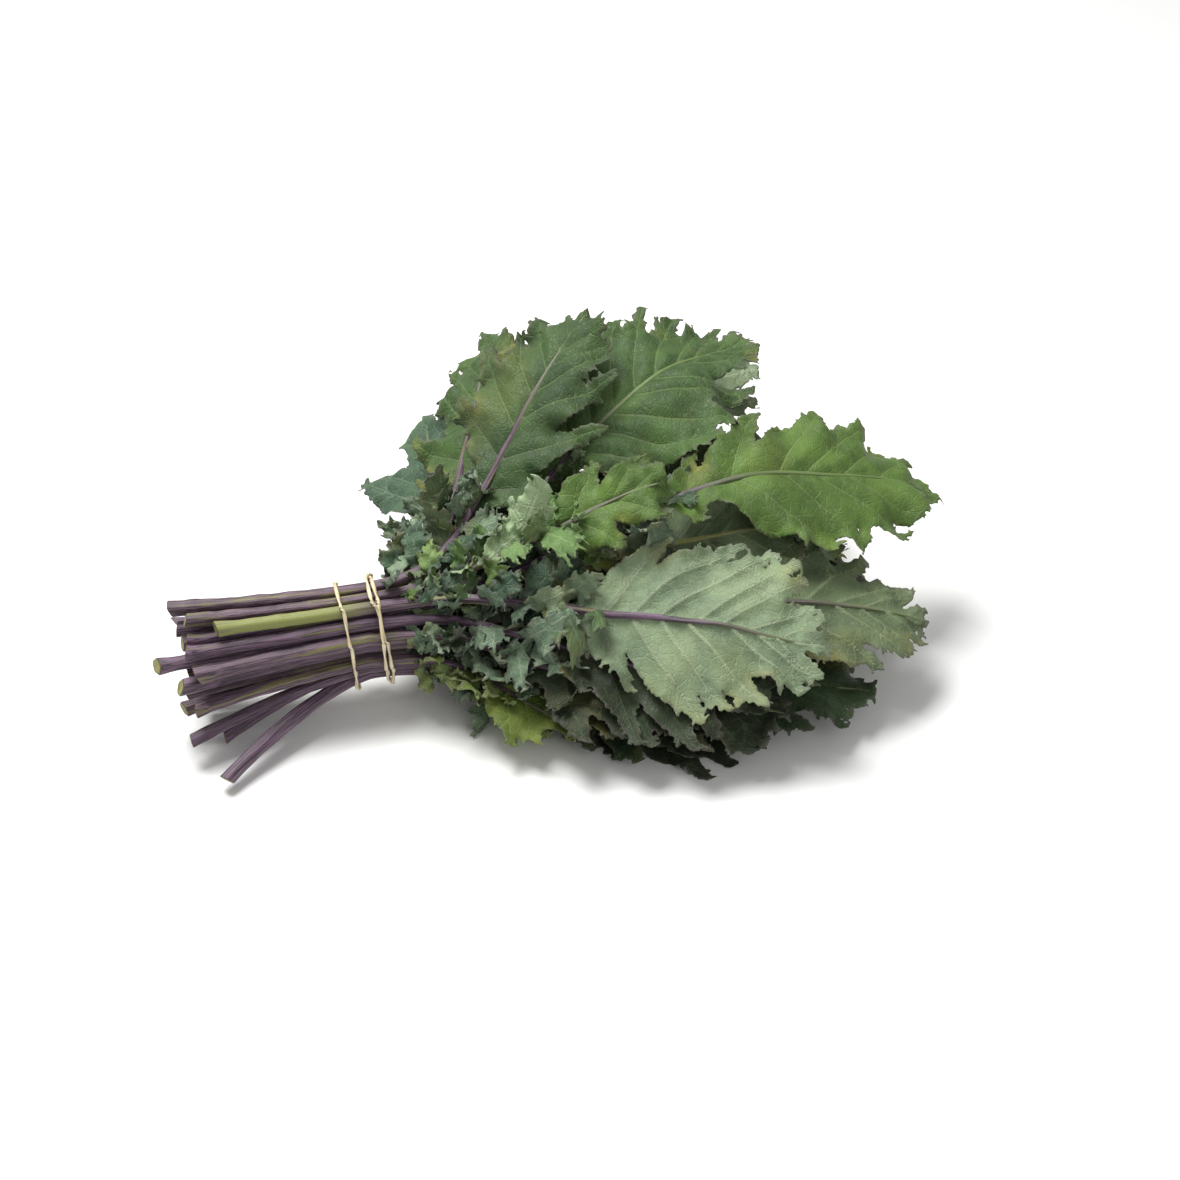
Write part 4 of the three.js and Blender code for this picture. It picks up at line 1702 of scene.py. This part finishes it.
def build_tissue_group() -> bpy.types.NodeTree:
    """Builds the leaf tissue that both sides of every blade share.

    Returns:
        The group: mottled tissue, a net of fine veins, the relief of the veins, tinged margin and age.
    """
    white = (1.0, 1.0, 1.0, 1.0)
    net, given, result = new_group(
        "leaf_tissue",
        {"Deep": white, "Mid": white, "Light": white, "Vein": white, "Vein Share": 0.5, "Stem": white,
         "Rim": white, "Rim Share": 0.5, "Age": white, "Age Share": 0.2},
        {"Color": "Color", "Height": "Float", "Roughness": "Float"},
    )
    # Scales are swells or cells a millimetre, and limits are shares of each pattern's range.
    place = net.grain()
    patches = net.noise(place, 0.035, 2.0)
    mottle = net.noise(place, 0.16, 5.0)
    fine = net.noise(place, 0.9, 4.0)
    bend = net.node("VectorMath", operation="ADD")
    net.feed(bend.inputs[0], place)
    net.feed(bend.inputs[1], net.math("MULTIPLY", mottle, 6.0))
    coarse_net = net.cells(bend.outputs[0], 0.17, 0.0, 0.075)
    fine_net = net.cells(bend.outputs[0], 0.5, 0.0, 0.12)
    colour = net.mix(net.ramp(mottle, 0.36, 0.66), given.outputs["Deep"], given.outputs["Mid"])
    colour = net.mix(net.ramp(patches, 0.42, 0.68, 0.0, 0.8), colour, given.outputs["Light"])
    lines = net.math("MAXIMUM", net.math("MULTIPLY", coarse_net, 0.42),
                     net.math("MULTIPLY", fine_net, 0.2))
    lines = net.math("MULTIPLY", lines, given.outputs["Vein Share"])
    colour = net.mix(lines, colour, given.outputs["Vein"])
    away = net.math("ABSOLUTE", net.mask("vein"))
    vein = net.math("MULTIPLY", net.ramp(away, 0.45, 1.5, 1.0, 0.0),
                    net.ramp(net.mask("near"), 0.9, 1.6, 1.0, 0.0))
    young = net.ramp(net.mask("grow"), 0.5, 0.85, 0.65, 0.0)
    vein_colour = net.mix(young, given.outputs["Vein"], given.outputs["Stem"])
    colour = net.mix(net.math("MULTIPLY", vein, given.outputs["Vein Share"]), colour, vein_colour)
    margin = net.mask("margin")
    age = net.ramp(net.noise(place, 0.022, 4.0), 0.52, 0.7)
    age = net.math("MULTIPLY", age, net.ramp(margin, 0.02, 0.5, 0.35, 1.0))
    colour = net.mix(net.math("MULTIPLY", age, given.outputs["Age Share"]), colour, given.outputs["Age"])
    rim = net.math("MULTIPLY", net.ramp(margin, 0.35, 0.95), net.ramp(mottle, 0.35, 0.6))
    colour = net.mix(net.math("MULTIPLY", rim, given.outputs["Rim Share"]), colour, given.outputs["Rim"])
    height = net.math("MULTIPLY", mottle, 0.8)
    for part, share in ((fine, 0.25), (coarse_net, -0.35), (fine_net, -0.18), (vein, -0.5)):
        height = net.math("ADD", height, net.math("MULTIPLY", part, share))
    net.feed(result.inputs["Color"], colour)
    net.feed(result.inputs["Height"], height)
    net.feed(result.inputs["Roughness"], net.ramp(fine, 0.3, 0.7, 0.46, 0.68))
    return net.tree


def build_streak_group() -> bpy.types.NodeTree:
    """Builds the lengthwise streaks that the stalks and the band share.

    Returns:
        The group, with broad streaks, fine fibres and a height.
    """
    net, _, result = new_group(
        "length_streaks", {}, {"Broad": "Float", "Fine": "Float", "Height": "Float"})
    broad = net.noise(net.grain((0.35, 0.35, 0.02)), 1.0, 4.0)
    fine = net.noise(net.grain((1.6, 1.6, 0.05)), 1.0, 3.0)
    specks = net.noise(net.grain(), 0.8, 4.0)
    height = net.math("ADD", net.math("MULTIPLY", fine, 0.7), net.math("MULTIPLY", specks, 0.5))
    net.feed(result.inputs["Broad"], broad)
    net.feed(result.inputs["Fine"], fine)
    net.feed(result.inputs["Height"], height)
    return net.tree


GROUPS: dict[str, bpy.types.NodeTree] = {}


def group_node(net: Net, name: str, **values: object) -> bpy.types.Node:
    """Places a shared group in a material.

    Args:
        net: the material's net.
        name: the group, tissue or streaks.
        values: its inputs, with an underscore for a space.

    Returns:
        The group's node.
    """
    if name not in GROUPS:
        GROUPS[name] = {"tissue": build_tissue_group, "streaks": build_streak_group}[name]()
    node = net.node("Group", node_tree=GROUPS[name])
    for label, value in values.items():
        node.inputs[label.replace("_", " ").title()].default_value = value
    return node


Painted = tuple[object, object, object]


@dataclass(frozen=True)
class Finish:
    """A finish: colour, roughness and relief that its own paint method lays out, and plain constants."""

    name: str
    bump: ClassVar[tuple[float, float]] = (0.5, 0.0008)

    def constants(self) -> dict[str, float]:
        """Gives the values of the shader's own sockets."""
        return {}

    def paint(self, net: Net) -> Painted:
        """Lays out the looks.

        Args:
            net: the material's net.

        Returns:
            The colour, the roughness and the height of the relief.
        """
        raise NotImplementedError

    def material(self) -> bpy.types.Material:
        """Makes the material, or gives it if it is there.

        Returns:
            The material.
        """
        if self.name in bpy.data.materials:
            return bpy.data.materials[self.name]
        material = bpy.data.materials.new(self.name)
        material.use_nodes = True
        net = Net(material.node_tree)
        shader = material.node_tree.nodes["Principled BSDF"]
        for label, value in self.constants().items():
            shader.inputs[label].default_value = value
        bump = net.node("Bump")
        bump.inputs["Strength"].default_value, bump.inputs["Distance"].default_value = self.bump
        colour, roughness, height = self.paint(net)
        net.feed(bump.inputs["Height"], height)
        net.feed(shader.inputs["Base Color"], colour)
        net.feed(shader.inputs["Roughness"], roughness)
        net.feed(shader.inputs["Normal"], bump.outputs[0])
        return material


@dataclass(frozen=True)
class TissueFinish(Finish):
    """One side of a blade, with screen colours for its tissue, veins, margin and old patches."""

    deep: str
    mid: str
    light: str
    vein: str
    vein_share: float
    stem: str = "5c4a58"
    rim: str = "675a58"
    rim_share: float = 0.42
    age: str = "a39a45"
    age_share: float = 0.3
    sheen: float = 0.05
    specular: float = 0.35
    bump: ClassVar[tuple[float, float]] = (0.55, 0.0011)

    def constants(self) -> dict[str, float]:
        """Gives a soft sheen and a weak gloss."""
        return {"Sheen Weight": self.sheen, "Sheen Roughness": 0.5, "Specular IOR Level": self.specular}

    def paint(self, net: Net) -> Painted:
        """Lays out the tissue from the shared group.

        Args:
            net: the material's net.

        Returns:
            The colour, the roughness and the height of the relief.
        """
        values = {label: getattr(self, label) for label in (
            "deep", "mid", "light", "vein", "vein_share", "stem", "rim", "rim_share", "age", "age_share")}
        tissue = group_node(net, "tissue", **{
            label: linear(value) if isinstance(value, str) else value for label, value in values.items()})
        return tissue.outputs["Color"], tissue.outputs["Roughness"], tissue.outputs["Height"]


@dataclass(frozen=True)
class StalkFinish(Finish):
    """A stalk: purple skin with lilac bloom and painted highlights, green streaks, paler towards the
    leaf's tip.
    """

    skin: str
    # Lilac of the waxy bloom, which also serves as painted highlights.
    bloom_and_highlight: str
    green: str
    green_from: float
    turning: float = 0.0
    tip: str = "66704a"
    fade: tuple[float, float] = (0.7, 1.0)

    def constants(self) -> dict[str, float]:
        """Gives a waxy sheen."""
        return {"Sheen Weight": 0.15, "Sheen Roughness": 0.45, "Specular IOR Level": 0.45}

    def paint(self, net: Net) -> Painted:
        """Lays the lilac streaks, the green streaks, the turned end and the paler tip over the skin.

        Args:
            net: the material's net.

        Returns:
            The colour, the roughness and the height of the relief.
        """
        streaks, grow = group_node(net, "streaks"), net.mask("grow")
        broad, fine = streaks.outputs["Broad"], streaks.outputs["Fine"]
        green = net.ramp(broad, self.green_from - 0.04, self.green_from + 0.08, 0.0, 0.9)
        turned = net.math("MULTIPLY", net.ramp(grow, 0.17, 0.3, self.turning, 0.0),
                          net.ramp(broad, 0.36, 0.5, 0.55, 1.0))
        # Lilac streaks: partly the stalk's waxy bloom, partly painted highlights.
        colour = net.mix(net.ramp(fine, 0.4, 0.64), linear(self.skin), linear(self.bloom_and_highlight))
        colour = net.mix(net.math("MAXIMUM", green, turned), colour, linear(self.green))
        colour = net.mix(net.ramp(grow, *self.fade), colour, linear(self.tip))
        return colour, net.ramp(fine, 0.3, 0.7, 0.42, 0.62), streaks.outputs["Height"]


@dataclass(frozen=True)
class CutFinish(Finish):
    """A stalk's cut end: pale pith, a greener ring and a drying rind."""

    name: str = "cut_end"
    pith: str = "a9a768"
    ring: str = "808a45"
    rind: str = "55463c"
    bump: ClassVar[tuple[float, float]] = (0.6, 0.0006)

    def constants(self) -> dict[str, float]:
        """Gives a moist gloss."""
        return {"Specular IOR Level": 0.4}

    def paint(self, net: Net) -> Painted:
        """Lays the ring and the rind over the pith, with whole ends that have dried.

        Args:
            net: the material's net.

        Returns:
            The colour, the roughness and the height of the relief.
        """
        radius, rind = net.mask("margin"), linear(self.rind)
        pores = net.noise(net.grain(), 1.6, 4.0)
        dried = net.noise(net.grain((0.013, 0.0, 0.0)), 1.0, 0.0)
        ring = net.ramp(net.math("ADD", radius, net.math("MULTIPLY", pores, 0.25)), 0.72, 0.95)
        colour = net.mix(ring, linear(self.pith), linear(self.ring))
        colour = net.mix(net.ramp(pores, 0.42, 0.7, 0.0, 0.6), colour, rind)
        colour = net.mix(net.ramp(dried, 0.42, 0.62, 0.0, 0.65), colour, rind)
        colour = net.mix(net.ramp(radius, 0.86, 0.99), colour, rind)
        return colour, net.ramp(pores, 0.3, 0.7, 0.5, 0.75), pores


@dataclass(frozen=True)
class BandFinish(Finish):
    """The rubber band: cream rubber with fine ribs and pale streaks of painted highlight."""

    name: str = "band_rubber"
    rubber: str = "cfbb8c"
    # Colour of the painted highlights along the ribs.
    pale: str = "e9dfc4"
    bump: ClassVar[tuple[float, float]] = (0.4, 0.0003)

    def constants(self) -> dict[str, float]:
        """Gives a satin gloss."""
        return {"Specular IOR Level": 0.5}

    def paint(self, net: Net) -> Painted:
        """Lays pale streaks of painted highlight over the rubber along its ribs.

        Args:
            net: the material's net.

        Returns:
            The colour, the roughness and the height of the relief.
        """
        streaks = group_node(net, "streaks")
        # Painted highlights: pale streaks along the fine ribs.
        bloom_and_highlight = net.ramp(streaks.outputs["Fine"], 0.35, 0.65)
        colour = net.mix(bloom_and_highlight, linear(self.rubber), linear(self.pale))
        roughness = net.ramp(streaks.outputs["Broad"], 0.3, 0.7, 0.35, 0.55)
        return colour, roughness, streaks.outputs["Height"]


@dataclass(frozen=True)
class FloorFinish(Finish):
    """The pale floor, with a faint unevenness."""

    name: str = "pale_floor"
    pale: str = "f4f4f2"
    shade: float = 0.985
    bump: ClassVar[tuple[float, float]] = (0.05, 0.0005)

    def paint(self, net: Net) -> Painted:
        """Lays the faint shade over the floor.

        Args:
            net: the material's net.

        Returns:
            The colour, the roughness and the height of the relief.
        """
        uneven = net.noise(net.node("TexCoord").outputs["Object"], 3.0, 2.0)
        pale = linear(self.pale)
        darker = tuple(value * self.shade for value in pale[:3]) + (1.0,)
        return net.mix(uneven, pale, darker), 0.7, uneven


TISSUES = {
    Tone.FRESH: (TissueFinish("fresh_upper", "3f5820", "4b6628", "5d7a31", "70854a", 0.45, age_share=0.45),
                 TissueFinish("fresh_under", "5f7344", "6c8150", "7b8d5a", "93a077", 0.5)),
    Tone.FIELD: (TissueFinish("field_upper", "2f471e", "3a5527", "49652c", "667a46", 0.42, age_share=0.4),
                 TissueFinish("field_under", "566845", "637550", "73855c", "8d9b76", 0.5)),
    Tone.MOSS: (TissueFinish("moss_upper", "273d1b", "314922", "40592a", "5c6f41", 0.42, age_share=0.22),
                TissueFinish("moss_under", "4c5f3b", "596b48", "697b53", "838f6d", 0.5)),
    # The deep tone's colours are partly the leaves' own dark green and partly painted shade for the lower
    # front leaves.
    Tone.SHADED_DEEP: (TissueFinish("deep_shaded_upper", "1d3118", "253b1d", "304624", "4c5e37", 0.4),
                TissueFinish("deep_shaded_under", "1f2818", "28331f", "333f28", "4e5a3c", 0.45, age_share=0.35)),
    Tone.PALE: (TissueFinish("pale_upper", "3b532c", "476035", "58703b", "728558", 0.42),
                TissueFinish("pale_under", "637559", "738666", "869873", "9ea989", 0.5, age_share=0.3)),
    Tone.GREY: (TissueFinish("grey_upper", "314829", "3d5532", "4b6239", "697a52", 0.42),
                TissueFinish("grey_under", "49583c", "566646", "667652", "818b68", 0.5, age_share=0.5)),
    Tone.MINT: (TissueFinish("mint_upper", "4b6b33", "5a7a40", "6b8a4f", "869f6a", 0.45, rim_share=0.15),
                TissueFinish("mint_under", "7b9267", "8ba176", "9bb086", "b2c2a0", 0.5, rim_share=0.12,
                             age_share=0.15)),
    Tone.BROWN: (TissueFinish("brown_upper", "374025", "454e2c", "565d35", "72724b", 0.42, age_share=0.6),
                 TissueFinish("brown_under", "393a2a", "464735", "55553d", "726f53", 0.5, age="66563a",
                              age_share=0.6)),
    Tone.BLUE: (TissueFinish("blue_upper", "2a4431", "37533b", "486544", "768a6b", 0.4, sheen=0.15),
                TissueFinish("blue_under", "566f56", "687f63", "7b9272", "9dac8e", 0.5, sheen=0.15)),
    Tone.LIME: (TissueFinish("lime_upper", "48601f", "5b6f29", "748034", "87914d", 0.45, age_share=0.6),
                TissueFinish("lime_under", "66793f", "77884c", "8a965d", "a1ab79", 0.5, age_share=0.45)),
}

STALKS = {
    Stem.PURPLE: StalkFinish("purple_stalk", "342430", "73586f", "66623c", 0.62),
    Stem.FADING: StalkFinish("fading_stalk", "342430", "73586f", "66623c", 0.62, tip="61753f",
                             fade=(0.6, 0.8)),
    Stem.MIXED: StalkFinish("mixed_stalk", "382831", "715968", "736f41", 0.57),
    Stem.GREEN: StalkFinish("green_stalk", "6a6a3c", "86864d", "97965a", 0.45),
    Stem.TURNING: StalkFinish("turning_stalk", "36262f", "745b72", "858b47", 0.6, 0.92),
}


# Tones of the leaflets on a stalk. Those of all other leaves are blue-green.
LEAFLET_TONES = {4: Tone.LIME, 8: Tone.LIME, MINT_LEAF: Tone.MINT}


def make_piece(name: str, shell: Shell, shift: Array,
               materials: list[bpy.types.Material]) -> bpy.types.Object:
    """Makes a Blender object of a shell.

    Args:
        name: its name.
        shell: its triangles, in millimetres in the bunch's frame.
        shift: what moves the bunch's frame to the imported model's, in millimetres.
        materials: its material slots.

    Returns:
        The object.
    """
    mesh = bpy.data.meshes.new(name)
    points = (shell.points + shift) * METRES
    mesh.vertices.add(len(points))
    mesh.vertices.foreach_set("co", points.astype(np.float32).ravel())
    mesh.loops.add(shell.faces.size)
    mesh.loops.foreach_set("vertex_index", shell.faces.astype(np.int32).ravel())
    mesh.polygons.add(len(shell.faces))
    mesh.polygons.foreach_set("loop_start", np.arange(0, shell.faces.size, 3, dtype=np.int32))
    mesh.polygons.foreach_set("material_index", shell.skin.astype(np.int32))
    mesh.polygons.foreach_set("use_smooth", shell.smooth)
    for label in ("vein", "near", "margin", "grow"):
        values = getattr(shell, label).astype(np.float32)
        mesh.attributes.new(label, "FLOAT", "POINT").data.foreach_set("value", values)
    grain = mesh.attributes.new("grain", "FLOAT_VECTOR", "POINT")
    grain.data.foreach_set("vector", shell.grain.astype(np.float32).ravel())
    mesh.update(calc_edges=True)
    mesh.validate()
    for material in materials:
        mesh.materials.append(material)
    piece = bpy.data.objects.new(name, mesh)
    bpy.context.scene.collection.objects.link(piece)
    return piece


@dataclass
class Bunch:
    """The whole bunch: its leaves and its band."""

    mound: Mound = Mound()

    def grow(self) -> None:
        """Lays out the leaves and the band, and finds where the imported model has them."""
        sheets = leaflet_sheets()
        self.leaves = [Leaf(number, plan, self.mound, leaflet_sheets=sheets)
                       for number, plan in enumerate(LEAVES, 1)]
        self.band = RubberBand(self.leaves)
        line = self.band.line()[:, :3]
        low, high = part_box("rubber_band")
        middle = (np.array(low) + np.array(high)) / 2 / METRES
        self.shift = middle - (line.min(axis=0) + line.max(axis=0)) / 2
        self.shift[2] = -BUNCH_FLOOR

    def dress_leaf(self, leaf: Leaf) -> None:
        """Makes one leaf in place of its plain one.

        Args:
            leaf: the leaf.
        """
        upper, under = TISSUES[leaf.plan.tone]
        small_upper, small_under = TISSUES[LEAFLET_TONES.get(leaf.number, Tone.BLUE)]
        finishes = (STALKS[leaf.plan.stem], CutFinish(), upper, under, small_upper, small_under)
        materials = [finish.material() for finish in finishes]
        name = f"leaf_{leaf.number:02d}"
        piece = make_piece("frilled_" + name, leaf.shell(), self.shift, materials)
        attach(piece, "root")
        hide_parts(name)
        LOG.info("%s: %d triangles", piece.name, len(piece.data.polygons))

    def dress_band(self) -> None:
        """Makes the twisted band in place of the plain one."""
        rubber = BandFinish().material()
        piece = make_piece("twisted_rubber_band", self.band.shell(), self.shift, [rubber])
        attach(piece, "root")
        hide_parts("rubber_band")
        LOG.info("%s: %d triangles", piece.name, len(piece.data.polygons))


@dataclass
class Studio:
    """The pale floor, the soft lights and the camera."""

    shift: Array
    elevation: float = math.radians(38)
    pixel: float = 0.51
    image: int = 1180
    neck_pixel: tuple[float, float] = (370.0, 630.0)
    lens: float = 85.0
    sensor: float = 36.0
    floor_size: float = 6.0
    sky: float = 0.36
    # Name, place in metres, side in metres and power in watts.
    lamps: tuple[tuple[str, tuple[float, float, float], float, float], ...] = (
        ("key_light", (-0.4, 0.3, 1.3), 0.7, 27.0),
        ("fill_light", (0.7, -1.2, 1.1), 1.0, 5.0),
    )

    def lay_floor(self) -> None:
        """Lays the pale floor."""
        half = self.floor_size / 2
        corners = [(-half, -half, 0), (half, -half, 0), (half, half, 0), (-half, half, 0)]
        mesh = bpy.data.meshes.new("floor")
        mesh.from_pydata(corners, [], [(0, 1, 2, 3)])
        mesh.materials.append(FloorFinish().material())
        floor = bpy.data.objects.new("floor", mesh)
        bpy.context.scene.collection.objects.link(floor)

    def target(self) -> Vector:
        """Gives the point at the middle of the view.

        Returns:
            Its place in metres.
        """
        right = (self.image / 2 - self.neck_pixel[0]) * self.pixel
        up = (self.neck_pixel[1] - self.image / 2) * self.pixel
        neck = Vector((0.0, 0.0, Neck().height))
        rise = Vector((0.0, math.sin(self.elevation), math.cos(self.elevation)))
        return (neck + Vector((right, 0.0, 0.0)) + rise * up + Vector(self.shift)) * METRES

    def aim_camera(self) -> None:
        """Places the camera at the photograph's angle and distance."""
        width = self.image * self.pixel * METRES
        distance = width * self.lens / self.sensor
        away = Vector((0.0, -math.cos(self.elevation), math.sin(self.elevation)))
        data = bpy.data.cameras.new("camera")
        data.lens = self.lens
        data.sensor_width = self.sensor
        camera = bpy.data.objects.new("camera", data)
        camera.location = self.target() + away * distance
        camera.rotation_euler = (-away).to_track_quat("-Z", "Y").to_euler()
        bpy.context.scene.collection.objects.link(camera)
        bpy.context.scene.camera = camera

    def hang_light(self, name: str, place: tuple[float, float, float], size: float,
                   power: float) -> None:
        """Hangs a soft square light that points at the bunch.

        Args:
            name: its name.
            place: where it hangs, in metres.
            size: its side in metres.
            power: in watts.
        """
        data = bpy.data.lights.new(name, "AREA")
        data.size = size
        data.energy = power
        light = bpy.data.objects.new(name, data)
        light.location = place
        light.rotation_euler = (-Vector(place)).to_track_quat("-Z", "Y").to_euler()
        bpy.context.scene.collection.objects.link(light)

    def light(self) -> None:
        """Sets the soft light all round and hangs the lamps."""
        world = bpy.data.worlds.new("studio")
        world.use_nodes = True
        sky = world.node_tree.nodes["Background"]
        sky.inputs["Color"].default_value = (1.0, 1.0, 1.0, 1.0)
        sky.inputs["Strength"].default_value = self.sky
        bpy.context.scene.world = world
        for lamp in self.lamps:
            self.hang_light(*lamp)
        bpy.context.scene.view_settings.view_transform = "Standard"


def main() -> None:
    """Builds the bunch and the studio."""
    logging.basicConfig(level=logging.INFO, format="%(message)s")
    bunch = Bunch()
    bunch.grow()
    LOG.info("shift of the bunch: %s mm", np.round(bunch.shift, 2))
    studio = Studio(bunch.shift)
    studio.aim_camera()
    for leaf in bunch.leaves:
        bunch.dress_leaf(leaf)
    bunch.dress_band()
    studio.lay_floor()
    studio.light()


if __name__ == "__main__":
    main()
